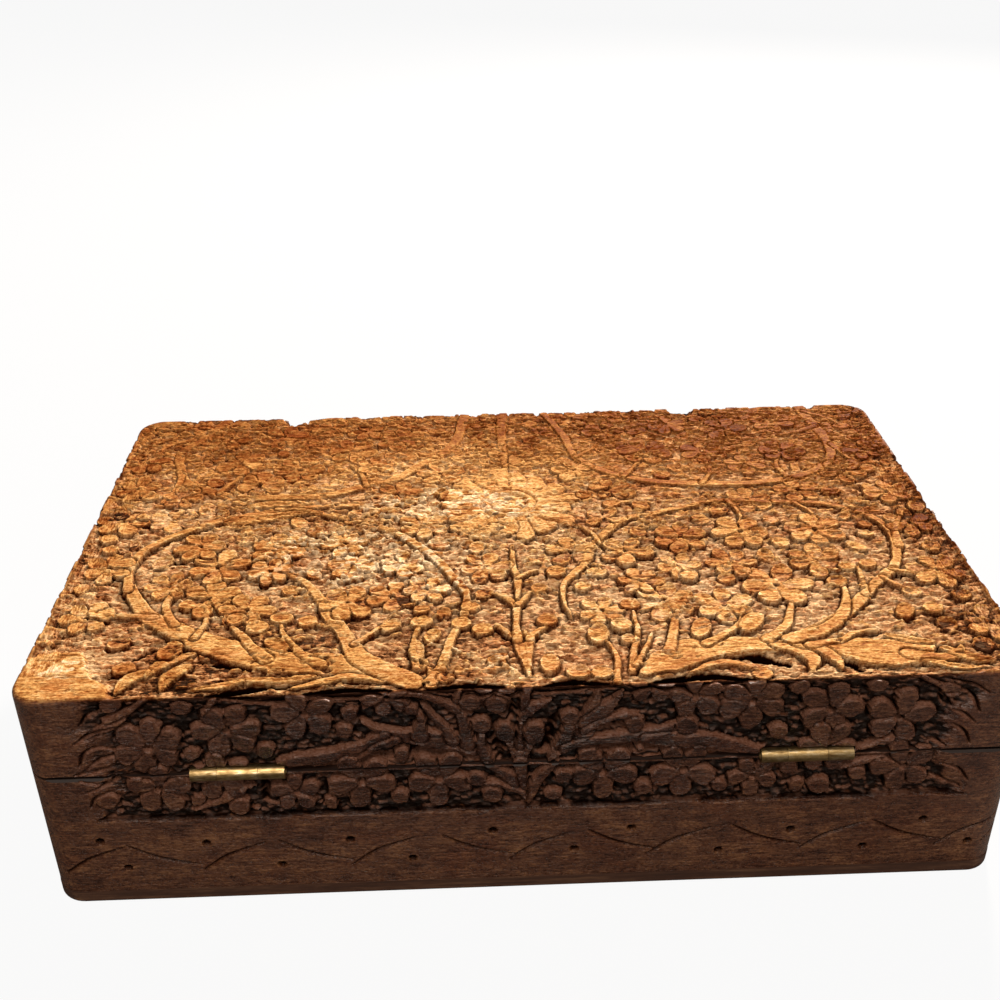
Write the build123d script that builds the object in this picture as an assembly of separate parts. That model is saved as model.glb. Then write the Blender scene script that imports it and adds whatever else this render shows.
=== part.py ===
from build123d import *
import math
import os

# Keepsake box with a hinged lid, in millimetres.
# X runs along the box, Y from the opening side (-Y) to the hinge side (+Y), Z up.
# The origin is the middle of the underside.
# The lid turns on the common axis of two brass butt hinges.

# ---- driving dimensions: the carcass ----
length = 254.0            # outside, left to right
depth = 155.0             # outside, front to back
base_height = 43.0        # table to the rim of the base
lid_height = 24.7         # rim of the lid to its top
parting_gap = 0.6         # saw kerf left between the two rims
wall = 10.5               # thickness of the front, back and end boards
corner_radius = 8.0       # upright corners, in plan
top_edge_radius = 1.5     # arris round the top of the lid
foot_edge_radius = 0.8    # arris round the underside
bottom_thickness = 4.0    # board planted under the four walls
inner_edge_chamfer = 0.6  # broken edge inside each rim

# ---- driving dimensions: the lid panel ----
panel_thickness = 10.0    # carved panel, flush with the top of its frame
tongue_thickness = 3.0    # tongue along the panel's lower edge, clear of the deepest carving
tongue_width = 3.0        # how far the tongue stands into the frame
tongue_clearance = 0.2    # room at the tip of the tongue

# ---- driving dimensions: the hinges ----
hinge_places = {"left": -70.5, "right": 73.5}  # middle of each hinge along X
hinge_length = 23.6
centre_knuckle = 10.2     # the lid leaf's single knuckle
knuckle_gap = 0.1         # end play between knuckles
barrel_radius = 1.95
leaf_thickness = 1.0
leaf_margin = 1.7         # wood left between a leaf and the inside of its wall
leaf_corner_radius = 0.6
leaf_gap = 0.2            # between the two leaves when shut
roll_seam = 0.15          # slit where the rolled knuckle meets its leaf
axis_inset = 0.8          # pin axis inside the back face
pin_fit = 0.02            # radial, pin in the base leaf that holds it
running_clearance = 0.05  # radial, lid knuckle on the pin
knuckle_clearance = 0.3   # wood and the other leaf round a knuckle
pin_overhang = 0.35       # bevelled pin end beyond the barrel
mortise_clearance = 0.1   # beside each leaf in its mortise
open_limit = 100.0        # degrees, where the two back bevels meet
bevel_clearance = 0.05    # each bevel short of the meeting plane

# ---- driving dimensions: the fasteners ----
screw_head_radius = 1.55
screw_shank_radius = 0.75
screw_length = 7.5
screw_head_depth = 0.8
screw_point = 1.6
screw_slot_width = 0.4
screw_slot_depth = 0.35
screw_spacing = 13.6      # between the two screws of a leaf
screw_fit = 0.03          # radial, screw in its hole
nail_head_radius = 1.3
nail_head_thickness = 0.6
nail_shank_radius = 0.6
nail_length = 19.0
nail_point = 1.4
nails_along = 3           # nails in each long wall
nail_end_margin = 30.0    # first nail from the end of the box
nail_fit = 0.03           # radial, nail in its hole

# ---- sizes that follow ----
inner_length = length - 2 * wall
inner_depth = depth - 2 * wall
lid_rim = base_height + parting_gap
total_height = lid_rim + lid_height
panel_underside = total_height - panel_thickness
axis_y = depth / 2 - axis_inset
axis_z = base_height + parting_gap / 2
pin_radius = barrel_radius - leaf_thickness
outer_knuckle = (hinge_length - centre_knuckle) / 2 - knuckle_gap
leaf_width = wall - axis_inset - leaf_margin
cove_radius = barrel_radius + knuckle_clearance
cove_length = hinge_length + 2 * (pin_overhang + mortise_clearance)
plate_width = leaf_width - cove_radius
screw_y = -(cove_radius + plate_width / 2)


def carcass(bottom, height):
    """Four-sided wall with rounded upright corners, standing on bottom."""
    outline = RectangleRounded(length, depth, corner_radius)
    ring = outline - Rectangle(inner_length, inner_depth)
    return Pos(0, 0, bottom) * extrude(ring, height)


def rim_edges(walls, height):
    """The four inner edges of a wall at one height."""
    inner = []
    for edge in walls.edges().filter_by(GeomType.LINE):
        middle = edge.center()
        inside = abs(middle.X) <= inner_length / 2 + 0.01 and abs(middle.Y) <= inner_depth / 2 + 0.01
        if inside and abs(middle.Z - height) < 0.01 and edge.length > wall:
            inner.append(edge)
    return inner


def long_board(walls, side):
    """The front (-1) or back (+1) board, which runs the full length."""
    middle = side * (inner_depth / 2 + wall / 2)
    return walls & Pos(0, middle, total_height / 2) * Box(length, wall, 2 * total_height)


def end_board(walls, side):
    """The left (-1) or right (+1) board, butted between the long boards."""
    middle = side * (inner_length / 2 + wall / 2)
    return walls & Pos(middle, 0, total_height / 2) * Box(wall, inner_depth, 2 * total_height)


def back_bevel(up):
    """Wedge planed off a rim's back arris, so the lid stops at open_limit.

    up is +1 for the lid and -1 for the base. The plane stands off the pin
    axis by bevel_clearance, and both planes meet when the lid is open.
    """
    half = math.radians((180.0 - open_limit) / 2)
    rim = parting_gap / 2
    start = (rim * math.sin(half) - bevel_clearance) / math.cos(half)
    drop = (axis_inset * math.cos(half) + bevel_clearance) / math.sin(half)
    spare = 1.0
    profile = Polyline(
        (start, up * rim),
        (axis_inset, up * drop),
        (axis_inset + spare, up * drop),
        (axis_inset + spare, up * (rim - spare)),
        (start, up * (rim - spare)),
        close=True,
    )
    return along_x(profile, length, 0.0)


def along_x(outline, run, middle):
    """Extrude a closed outline, drawn as (Y, Z) about the pin axis, along X."""
    section = Plane.YZ * make_face(outline)
    return Pos(middle - run / 2, axis_y, axis_z) * extrude(section, run)


def knuckle(bore_radius, run, middle, up):
    """One rolled knuckle: a turned-over strip that leaves a seam at its leaf."""
    ring = Circle(barrel_radius) - Circle(bore_radius)
    seam_height = up * (leaf_gap / 2 - roll_seam / 2)
    seam = Pos(-barrel_radius, seam_height) * Rectangle(2 * leaf_thickness, roll_seam)
    section = Plane.YZ * (ring - seam)
    return Pos(middle - run / 2, axis_y, axis_z) * extrude(section, run)


def root(run, middle, up):
    """The strip that joins a knuckle to the plate of its leaf."""
    inner = barrel_radius - leaf_thickness / 2
    reach = cove_radius + leaf_corner_radius
    centre_y = axis_y - (inner + reach) / 2
    centre_z = axis_z + up * (leaf_gap + leaf_thickness) / 2
    return Pos(middle, centre_y, centre_z) * Box(run, reach - inner, leaf_thickness)


def plate(middle, up):
    """The flat of a leaf, set in its mortise, with two countersunk holes."""
    centre_y = axis_y - cove_radius - plate_width / 2
    centre_z = axis_z + up * (leaf_gap + leaf_thickness) / 2
    flat = Pos(middle, centre_y, centre_z) * Box(hinge_length, plate_width, leaf_thickness)
    free_corners = flat.edges().filter_by(Axis.Z).group_by(Axis.Y)[0]
    flat = fillet(free_corners, leaf_corner_radius)
    for hole in screw_places(middle, up):
        flat -= hole * screw_body(screw_fit)
    return flat


def screw_places(middle, up):
    """Where the screws of one leaf stand, heads flush with its closed face."""
    face = axis_z + up * leaf_gap / 2
    turn = Rot(180, 0, 0) if up > 0 else Rot(0, 0, 0)
    places = []
    for side in (-1, 1):
        places.append(Pos(middle + side * screw_spacing / 2, axis_y + screw_y, face) * turn)
    return places


def screw_body(grow):
    """Countersunk screw, head up at the origin, fatter by grow all round."""
    head = screw_head_radius + grow
    shank = screw_shank_radius + grow
    outline = Polyline(
        (0, 0),
        (head, 0),
        (shank, -screw_head_depth),
        (shank, screw_point - screw_length),
        (0, -screw_length - grow),
        close=True,
    )
    return revolve(Plane.XZ * make_face(outline), Axis.Z)


def screws(middle, up):
    """The two slotted screws of one leaf."""
    slot = Pos(0, 0, -screw_slot_depth / 2)
    slot = slot * Box(2 * screw_head_radius + 1, screw_slot_width, screw_slot_depth)
    pair = []
    for number, place in enumerate(screw_places(middle, up)):
        turned = Rot(0, 0, 35 + 70 * number)
        pair.append(place * (screw_body(0.0) - turned * slot))
    return pair


def base_leaf(middle):
    """The leaf that holds the pin in its two outer knuckles."""
    leaf = plate(middle, -1)
    reach = (hinge_length - outer_knuckle) / 2
    for side in (-1, 1):
        leaf += root(outer_knuckle, middle + side * reach, -1)
        leaf += knuckle(pin_radius + pin_fit, outer_knuckle, middle + side * reach, -1)
    return leaf


def lid_leaf(middle):
    """The leaf whose centre knuckle runs on the pin."""
    leaf = plate(middle, 1)
    leaf += root(centre_knuckle, middle, 1)
    leaf += knuckle(pin_radius + running_clearance, centre_knuckle, middle, 1)
    return leaf


def hinge_pin(middle):
    """Plain pin with two bevelled ends."""
    run = hinge_length + 2 * pin_overhang
    pin = Pos(middle, axis_y, axis_z) * Rot(0, 90, 0) * Cylinder(pin_radius, run)
    return chamfer(pin.edges().filter_by(GeomType.CIRCLE), pin_overhang)


def hinge_housing(middle, up):
    """What is cut from a back board for one hinge: mortise, cove and pilot holes."""
    leaf_face = axis_z + up * (leaf_gap / 2 + leaf_thickness)
    rim = axis_z + up * parting_gap / 2
    spare = 1.0
    run = hinge_length + 2 * mortise_clearance
    reach = leaf_width + mortise_clearance
    height = abs(leaf_face - rim) + spare
    middle_z = leaf_face - up * height / 2
    mortise = Pos(middle, axis_y - reach / 2, middle_z) * Box(run, reach, height)
    cove = Pos(middle, axis_y, axis_z) * Rot(0, 90, 0) * Cylinder(cove_radius, cove_length)
    housing = mortise + cove
    for place in screw_places(middle, up):
        housing += place * screw_body(screw_fit)
    return housing


def nail_places():
    """Under the middle of every wall, evenly spaced."""
    places = []
    for side in (-1, 1):
        wall_y = side * (inner_depth / 2 + wall / 2)
        step = (length - 2 * nail_end_margin) / (nails_along - 1)
        for number in range(nails_along):
            places.append(Pos(-length / 2 + nail_end_margin + number * step, wall_y, 0))
        places.append(Pos(side * (inner_length / 2 + wall / 2), 0, 0))
    return places


def nail(grow):
    """Flat-headed nail, driven up from the underside."""
    head = nail_head_radius + grow
    shank = nail_shank_radius + grow
    outline = Polyline(
        (0, 0),
        (head, 0),
        (head, nail_head_thickness),
        (shank, nail_head_thickness),
        (shank, nail_length - nail_point),
        (0, nail_length + grow),
        close=True,
    )
    return revolve(Plane.XZ * make_face(outline), Axis.Z)


def nail_holes():
    """All the nails' holes, to be cut from whatever they pass through."""
    return [place * nail(nail_fit) for place in nail_places()]


def cut_all(body, cutters):
    """Take every cutter from a body."""
    for cutter in cutters:
        body = body - cutter
    return body


def save(name, shape):
    """Write one node: a solid, or a group of separate solids."""
    solids = shape if isinstance(shape, list) else shape.solids()
    for solid in solids:
        solid.label = name
    whole = solids[0] if len(solids) == 1 else Compound(children=solids)
    whole.label = name
    export_step(whole, os.path.join("parts", name + ".step"))


def make_base():
    """Four walls on a planted bottom board."""
    outline = RectangleRounded(length, depth, corner_radius)
    bottom = extrude(outline, bottom_thickness)
    bottom = fillet(bottom.faces().sort_by(Axis.Z)[0].outer_wire().edges(), foot_edge_radius)
    walls = carcass(bottom_thickness, base_height - bottom_thickness)
    walls = chamfer(rim_edges(walls, base_height), inner_edge_chamfer)
    housings = [hinge_housing(middle, -1) for middle in hinge_places.values()]
    holes = nail_holes()
    back = long_board(walls, 1) - back_bevel(-1)
    save("base_back_board", cut_all(back, housings + holes))
    save("base_front_board", cut_all(long_board(walls, -1), holes))
    save("base_left_board", cut_all(end_board(walls, -1), holes))
    save("base_right_board", cut_all(end_board(walls, 1), holes))
    save("bottom_board", cut_all(bottom, holes))
    save("bottom_nails", [place * nail(0.0) for place in nail_places()])


def make_lid():
    """Four walls grooved for the tongue of the carved panel."""
    walls = carcass(lid_rim, lid_height)
    top = walls.faces().sort_by(Axis.Z)[-1].outer_wire().edges()
    walls = fillet(top, top_edge_radius)
    walls = chamfer(rim_edges(walls, lid_rim), inner_edge_chamfer)
    tip = tongue_width + tongue_clearance
    groove_z = panel_underside + tongue_thickness / 2
    groove = Box(inner_length + 2 * tip, inner_depth + 2 * tip, tongue_thickness)
    walls -= Pos(0, 0, groove_z) * groove
    tongue = Box(inner_length + 2 * tongue_width, inner_depth + 2 * tongue_width, tongue_thickness)
    panel = Pos(0, 0, groove_z) * tongue
    panel += Pos(0, 0, total_height - panel_thickness / 2) * Box(inner_length, inner_depth, panel_thickness)
    housings = [hinge_housing(middle, 1) for middle in hinge_places.values()]
    back = long_board(walls, 1) - back_bevel(1)
    save("lid_back_board", cut_all(back, housings))
    save("lid_front_board", long_board(walls, -1))
    save("lid_left_board", end_board(walls, -1))
    save("lid_right_board", end_board(walls, 1))
    save("lid_panel", panel)


def make_hinges():
    """Two butt hinges with their pins and screws."""
    for side, middle in hinge_places.items():
        save(side + "_hinge_base_leaf", base_leaf(middle))
        save(side + "_hinge_lid_leaf", lid_leaf(middle))
        save(side + "_hinge_pin", hinge_pin(middle))
        save(side + "_hinge_base_screws", screws(middle, -1))
        save(side + "_hinge_lid_screws", screws(middle, 1))


os.makedirs("parts", exist_ok=True)
make_base()
make_lid()
make_hinges()
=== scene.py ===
import math

import bmesh
import bpy
import numpy as np
from mathutils import Matrix, Vector


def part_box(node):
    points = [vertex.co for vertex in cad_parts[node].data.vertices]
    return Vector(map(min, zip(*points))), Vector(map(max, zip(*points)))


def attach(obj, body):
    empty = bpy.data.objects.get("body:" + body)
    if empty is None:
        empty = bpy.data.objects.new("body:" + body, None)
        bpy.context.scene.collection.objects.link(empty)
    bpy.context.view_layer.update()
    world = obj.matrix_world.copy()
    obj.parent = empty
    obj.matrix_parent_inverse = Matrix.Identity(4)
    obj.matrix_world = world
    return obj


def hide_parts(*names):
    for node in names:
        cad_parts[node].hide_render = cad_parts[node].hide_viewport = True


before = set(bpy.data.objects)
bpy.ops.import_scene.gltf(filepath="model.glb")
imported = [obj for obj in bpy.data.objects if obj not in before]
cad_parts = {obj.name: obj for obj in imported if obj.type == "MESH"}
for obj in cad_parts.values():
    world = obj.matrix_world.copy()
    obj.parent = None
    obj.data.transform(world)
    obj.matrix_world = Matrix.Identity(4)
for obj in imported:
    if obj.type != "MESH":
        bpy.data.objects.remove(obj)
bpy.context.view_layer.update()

# A keepsake box of sheesham, the Indian rosewood, carved all over with a flowering vine. The
# boards, hinges, screws and nails come from the model. What is made here is the carving: the
# skin of each board is a fine sheet pressed down to the depth the gouge left, and the board
# is cut to that skin, so its joints, rims and hinge seats stay as the joiner made them.
# Sizes are in millimetres until a mesh is made.

MM = 0.001


def top_of(node):
    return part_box(node)[1] / MM


HALF_LENGTH = top_of("base_back_board").x
HALF_DEPTH = top_of("base_back_board").y
INNER_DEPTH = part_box("base_back_board")[0].y / MM
INNER_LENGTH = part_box("base_right_board")[0].x / MM
TOP = top_of("lid_panel").z
BASE_RIM = top_of("base_back_board").z
CORNER = 8.0  # radius of the four upright corners
ARRIS = 1.5  # rounding along the lid's upper edge
FRIEZE_FOOT = 28.3  # the carving on the sides starts at this height; below it is a smooth band

SHEET_STEP = 0.2  # spacing of the points at which the carving's depth is worked out
LINE_STEP = 0.8  # and of the spots along a stem or a cut
BOARD_STEP = 0.34  # spacing of the vertices of the boards' carved skin
PANEL_STEP = 0.28  # and of the panel's
GROUND = 1.6  # depth of the cut-away ground of the lid
SIDE_GROUND = 2.0  # and of the sides, cut deeper
REACH = 6.0  # near an edge the gouge goes towards a line this far inside both faces
CRISP = math.radians(34)  # edges of the carving sharper than this are not smoothed
LEAST_CUT = 0.12  # the skin lies at least this far below the planed board
ARRIS_CUT = 0.15  # and this far inside the rounding of the lid's edge

# the carver's hand and tools
HAND_SWAY, HAND_SHAKE = 0.22, 0.06  # outlines wander slowly by the one and quickly by the other
KNIFE_SPREAD, KNIFE_DEPTH = 0.33, 0.35  # the cut that outlines each part
KNIFE_CROSSING = 0.3  # how much deeper it goes across a part that already stands
STROKE_WIDTH, STROKE_DEPTH = 1.3, 1.3  # short strokes that end the vine
ARC_WIDTH, ARC_DEPTH = 0.95, 1.2  # the arcs in the smooth band
HOLE_RADIUS, HOLE_DEPTH = 1.0, 2.6  # and the holes among them

# a flower of size 1
FLOWER_REACH = 9.4
PETAL_RING = 5.6  # how far its petals' middles are from the eye
PETAL_LONG, PETAL_WIDE = 2.95, 3.0  # a petal's half-length, and its half-width where there is room
PETAL_ROOM = 5.8  # that room: this by the sine of half the angle between petals

# ---------------------------------------------------------------- carving tools


def soften(sheet, spread):
    """Blurs a sheet by a spread in mm, one for both ways or (across, along)."""
    spread_v, spread_u = (spread, spread) if np.isscalar(spread) else spread
    rows, cols = sheet.shape
    fade_v = np.exp(-2 * (np.pi * np.fft.fftfreq(rows, SHEET_STEP) * spread_v) ** 2)
    fade_u = np.exp(-2 * (np.pi * np.fft.rfftfreq(cols, SHEET_STEP) * spread_u) ** 2)
    return np.fft.irfft2(np.fft.rfft2(sheet) * fade_v[:, None] * fade_u, s=sheet.shape)


def ripple(shape, spread, seed):
    """Seeded random hills and hollows of the given size, about -1 to 1."""
    hills = soften(np.random.default_rng(seed).standard_normal(shape), spread)
    return (hills - hills.mean()) / (2 * hills.std())


def facets(shape, long, short, seed):
    """Torn or gouged facets, long by short mm, each with its own height and slope, -1 to 1."""
    rows, cols = shape
    chance = np.random.default_rng(seed)
    y, x = np.mgrid[0:rows, 0:cols].astype(float)
    y = y * SHEET_STEP / short + 0.2 * ripple(shape, 0.5, seed + 1)
    x = x * SHEET_STEP / long + 0.2 * ripple(shape, 0.5, seed + 2)
    count = int(y.max()) + 5, int(x.max()) + 5
    jitter = chance.uniform(0, 1, (2,) + count)
    lift, tilt_y, tilt_x = chance.uniform(-1, 1, (3,) + count)
    nearest = np.full(shape, 9.0)
    value = np.zeros(shape)
    for down in (-1, 0, 1):
        for along in (-1, 0, 1):
            j = np.floor(y).astype(int) + down + 2
            i = np.floor(x).astype(int) + along + 2
            dy, dx = y - (j - 2 + jitter[0][j, i]), x - (i - 2 + jitter[1][j, i])
            away = np.hypot(dy, dx)
            closer = away < nearest
            nearest = np.where(closer, away, nearest)
            value = np.where(closer, lift[j, i] + tilt_y[j, i] * dy + tilt_x[j, i] * dx, value)
    return value


def ease(value):
    """0 to 1, starting and ending softly."""
    value = np.clip(value, 0.0, 1.0)
    return value * value * (3 - 2 * value)


def smooth_line(points):
    """A flowing line through the points, as evenly spaced spots, with how far along each is."""
    points = np.array(points, float)
    ends = 2 * points[[0, -1]] - points[[1, -2]]
    knots = np.vstack([ends[:1], points, ends[1:]])
    spots, along = [], []
    for i in range(len(points) - 1):
        p0, p1, p2, p3 = knots[i:i + 4]
        count = max(2, int(np.hypot(*(p2 - p1)) / LINE_STEP))
        t = np.arange(count)[:, None] / count
        spots.append(0.5 * (2 * p1 + (p2 - p0) * t + (2 * p0 - 5 * p1 + 4 * p2 - p3) * t ** 2
                            + (3 * p1 - p0 - 3 * p2 + p3) * t ** 3))
        along.append(i + t[:, 0])
    spots.append(points[-1:])
    along.append([len(points) - 1.0])
    return np.vstack(spots), np.concatenate(along) / (len(points) - 1)


class CarvedFace:
    """One face laid flat: its height at every spot, 0 at the planed board and less below."""

    def __init__(self, left, right, low, high, seed):
        self.left, self.low = left, low
        cols = int(round((right - left) / SHEET_STEP)) + 1
        rows = int(round((high - low) / SHEET_STEP)) + 1
        self.shape = rows, cols
        self.seed = seed
        v, u = np.mgrid[0:rows, 0:cols] * SHEET_STEP
        self.true_u, self.true_v = u + left, v + low
        self.u = self.by_hand(self.true_u, seed + 1, seed + 5)
        self.v = self.by_hand(self.true_v, seed + 2, seed + 6)
        self.height = np.zeros(self.shape)
        self.taken = np.zeros(self.shape, bool)  # where a part stands or the ground stays open
        self.tint = np.zeros(self.shape)  # how much paler or darker a part is than its neighbours
        self.sleek = np.zeros(self.shape)  # 1 on the stems, which are smoother
        self.outline = np.zeros(self.shape)  # 1 along the edges of the parts and in the cuts
        self.chip = facets(self.shape, 2.6, 1.5, seed + 7)
        self.lift = 0.2 * ripple(self.shape, 5.0, seed + 3) + 0.07 * self.chip

    def by_hand(self, places, sway_seed, shake_seed):
        """No hand cuts a perfect curve: outlines wander by a quarter of a millimetre."""
        return (places + HAND_SWAY * ripple(self.shape, 1.5, sway_seed)
                + HAND_SHAKE * ripple(self.shape, 0.5, shake_seed))

    def window(self, low_u, high_u, low_v, high_v, margin=1.0):
        """The rows and columns of the sheet that a patch takes up."""
        def span(low, high, start, count):
            first = int((low - margin - start) / SHEET_STEP)
            last = int((high + margin - start) / SHEET_STEP) + 2
            return slice(min(max(first, 0), count), min(max(last, 0), count))
        return (span(low_v, high_v, self.low, self.shape[0]),
                span(low_u, high_u, self.left, self.shape[1]))

    def raise_part(self, win, inside, crest, wall=0.3, claim=0.0, uneven=1.0, tint=0.0):
        """Leaves a part standing: crest is its surface and inside the distance in from its edge.
        Its outline is first cut round with the knife, deepest across its neighbours."""
        knifed = np.exp(-(inside / KNIFE_SPREAD) ** 2)
        ground = self.height[win] - (KNIFE_DEPTH + KNIFE_CROSSING * self.taken[win]) * knifed
        # a wall slopes more where the ground is deep
        wall = wall + 0.3 * np.clip(-1.8 - ground, 0, 2)
        shape = ground + (crest + uneven * self.lift[win] - ground) * ease(inside / wall)
        stands = (inside > 0) & (shape > ground)
        self.height[win] = np.where(stands, shape, ground)
        self.tint[win] = np.where(stands, tint, self.tint[win])
        # the painted shade of an outline spreads onto the ground beside a part
        beside = np.exp(-(np.minimum(inside, 0) / 0.8) ** 2)
        beside = np.maximum(self.outline[win], beside)
        self.outline[win] = np.where(stands, 1 - ease(inside / 0.4), beside)
        self.sleek[win] = np.where(stands, float(claim > 0), self.sleek[win])
        self.taken[win] |= inside > claim

    def disc(self, u, v, long, short, turn, level, lean, dish):
        """A petal, bud or berry: a flat or dished round boss, leaning one way."""
        reach = max(long, short)
        win = self.window(u - reach, u + reach, v - reach, v + reach)
        du, dv = self.u[win] - u, self.v[win] - v
        x = (du * math.cos(turn) + dv * math.sin(turn)) / long
        y = (dv * math.cos(turn) - du * math.sin(turn)) / short
        out = np.hypot(x, y)
        crest = level - dish * ease((1.02 - out) / 0.5) + (lean[0] * du + lean[1] * dv) / reach
        # some are paler and some darker, by where they stand
        tint = -0.45 + 0.7 * math.sin(u * 7.1 + v * 3.3)
        self.raise_part(win, (1 - out) * min(long, short), crest, tint=tint)

    def flower(self, u, v, size=1.0, petals=6, turn=0.0, level=-0.3, dish=0.4, eye=0.7):
        """Round petals on short necks about a drilled eye, each dished and leaning its own way."""
        chance = np.random.default_rng(int(abs(u * 131 + v * 977) * 10) + self.seed)
        reach = FLOWER_REACH * size
        win = self.window(u - reach, u + reach, v - reach, v + reach)
        du, dv = self.u[win] - u, self.v[win] - v
        far = np.hypot(du, dv)
        ways = turn + 2 * math.pi * (np.arange(petals) + chance.uniform(-0.09, 0.09, petals)) / petals
        off = (np.arctan2(dv, du)[..., None] - ways + math.pi) % (2 * math.pi) - math.pi
        order = np.abs(off).argsort(-1)
        own = order[..., 0]
        lean = np.take_along_axis(off, order, -1)
        ring = PETAL_RING * size * chance.uniform(0.9, 1.08, petals)[own]
        long = PETAL_LONG * size * chance.uniform(0.92, 1.08, petals)[own]
        widest = min(PETAL_WIDE, PETAL_ROOM * math.sin(math.pi / petals))
        short = widest * size * chance.uniform(0.88, 1.06, petals)[own]
        along, aside = far * np.cos(lean[..., 0]) - ring, far * np.sin(lean[..., 0])
        # towards the eye a petal draws in to its neck
        neck = np.clip(-along / (long + 2.9 * size), 0, 1)
        out = np.hypot(np.maximum(along / long, neck), aside / (short * (1 - 0.6 * neck ** 2)))
        crest = (level + chance.uniform(-0.25, 0.12, petals)[own]
                 - dish * chance.uniform(0.3, 1.4, petals)[own] * ease((1.02 - out) / 0.5)
                 + chance.uniform(-0.25, 0.35, petals)[own] * along / long
                 + chance.uniform(-0.35, 0.35, petals)[own] * aside / short)
        fold = chance.uniform(-0.5, 0.5, petals)[own]
        crest -= 0.6 * np.maximum(fold, 0) * np.exp(-((aside - fold) / 0.25) ** 2) * (out < 0.75)
        tint = chance.uniform(-0.95, 0.05) + chance.uniform(-0.45, 0.45, petals)[own]
        self.raise_part(win, (1 - out) * np.minimum(long, short), crest, tint=tint)
        # the knife parts each petal from the next
        gap = (np.abs(lean[..., 1]) - np.abs(lean[..., 0])) / 2 * far
        parting = 0.9 * np.clip(1 - gap / 0.35, 0, 1) * ease((far - 1.8 * size) / 1.6)
        self.height[win] -= parting * (out < 1.05)
        self.drill(u, v, eye * size, 1.5 * eye)

    def band(self, points, widths, steady=False):
        """For the patch about a tapering ribbon: how far each spot is from the ribbon's middle
        line and on which side, the half-width there, and how far along it the spot is."""
        line, along = smooth_line(points)
        half = np.interp(along, np.linspace(0, 1, len(widths)), widths) / 2
        reach = half.max() + 0.6
        box = self.window(line[:, 0].min() - reach, line[:, 0].max() + reach,
                          line[:, 1].min() - reach, line[:, 1].max() + reach)
        u, v = (self.true_u[box], self.true_v[box]) if steady else (self.u[box], self.v[box])
        near = np.full(u.shape, 99.0)
        side = np.zeros(u.shape)
        width = np.ones(u.shape)
        way = np.zeros(u.shape)
        row0, col0 = box[0].start, box[1].start
        for i in range(len(line) - 1):
            a, b = line[i], line[i + 1]
            rows, cols = self.window(min(a[0], b[0]) - reach, max(a[0], b[0]) + reach,
                                     min(a[1], b[1]) - reach, max(a[1], b[1]) + reach, 0.4)
            win = (slice(rows.start - row0, rows.stop - row0),
                   slice(cols.start - col0, cols.stop - col0))
            step = b - a
            size = step @ step
            du, dv = u[win] - a[0], v[win] - a[1]
            if du.size == 0 or size == 0:
                continue
            t = np.clip((du * step[0] + dv * step[1]) / size, 0, 1)
            dist = np.hypot(du - t * step[0], dv - t * step[1])
            closer = dist < near[win]
            near[win] = np.where(closer, dist, near[win])
            side[win] = np.where(closer, np.sign(du * step[1] - dv * step[0]), side[win])
            width[win] = np.where(closer, half[i] + t * (half[i + 1] - half[i]), width[win])
            way[win] = np.where(closer, along[i] + t * (along[i + 1] - along[i]), way[win])
        return box, near, side, np.maximum(width, 0.05), way

    def stem(self, points, widths, level=-0.3, grooves=0):
        """A ribbon of vine, a little rounded, with the gouge's grooves running along it."""
        box, near, side, width, way = self.band(points, widths)
        across = near / width
        crest = level - 0.2 * across ** 4 + 0.16 * across * side + 0.08 * np.sin(way * 23 + width)
        for k in range(grooves):
            place = (k + 1) / (grooves + 1) * 2 - 1 + 0.12 * np.sin(way * 9 + 2 * k)
            crest = crest - 0.2 * np.exp(-((across * side - place) * width / 0.2) ** 2)
        self.raise_part(box, width - near, crest, claim=0.5, uneven=0.5, tint=-0.3)

    def leaf(self, points, width, veins):
        """A pointed leaf along its midrib, hollowed each side of the rib."""
        box, near, _, half, way = self.band(points, (width, width))
        swell = half * np.sin(np.pi * np.clip(way, 0.0, 1.0) ** 0.8) ** 0.7
        across = near / np.maximum(swell, 0.05)
        crest = -0.35 - 0.25 * across ** 3 - 0.35 * np.exp(-(near / 0.28) ** 2)
        if veins:
            crest = crest - 0.22 * np.maximum(0, np.sin((way * veins - across * 0.9) * 6.3)) ** 4
        self.raise_part(box, swell - near, crest)

    def drill(self, u, v, radius, deep):
        """A small round hole."""
        win = self.window(u - radius, u + radius, v - radius, v + radius)
        out = np.hypot(self.true_u[win] - u, self.true_v[win] - v) / radius
        hole = ease((1.15 - out) / 0.35)
        self.height[win] -= deep * hole
        self.outline[win] = np.maximum(self.outline[win], hole)

    def knife(self, points, width, deep):
        """A cut made with one sweep of a small gouge."""
        box, near, _, half, _ = self.band(points, (width * 0.4, width, width * 0.3), True)
        cut = np.clip(1.2 - near / half, 0, 1)
        self.height[box] -= deep * cut
        self.outline[box] = np.maximum(self.outline[box], cut)

    def hollow(self, points, widths, deep):
        """Ground cut deeper, in the shade under a branch."""
        box, near, _, half, _ = self.band(points, widths)
        self.height[box] -= deep * ease((half - near) / 1.4)
        self.taken[box] |= half - near > 0.4

    def room(self, u, v, radius):
        """The share of a round patch that is still open ground."""
        win = self.window(u - radius, u + radius, v - radius, v + radius, 0)
        patch = self.taken[win]
        return 1 - patch.mean() if patch.size else 0.0

    def scatter(self, box, count, seed, dish):
        """Fills open ground with more flowers, buds and berries, leaving ground round each."""
        chance = np.random.default_rng(seed)
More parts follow.
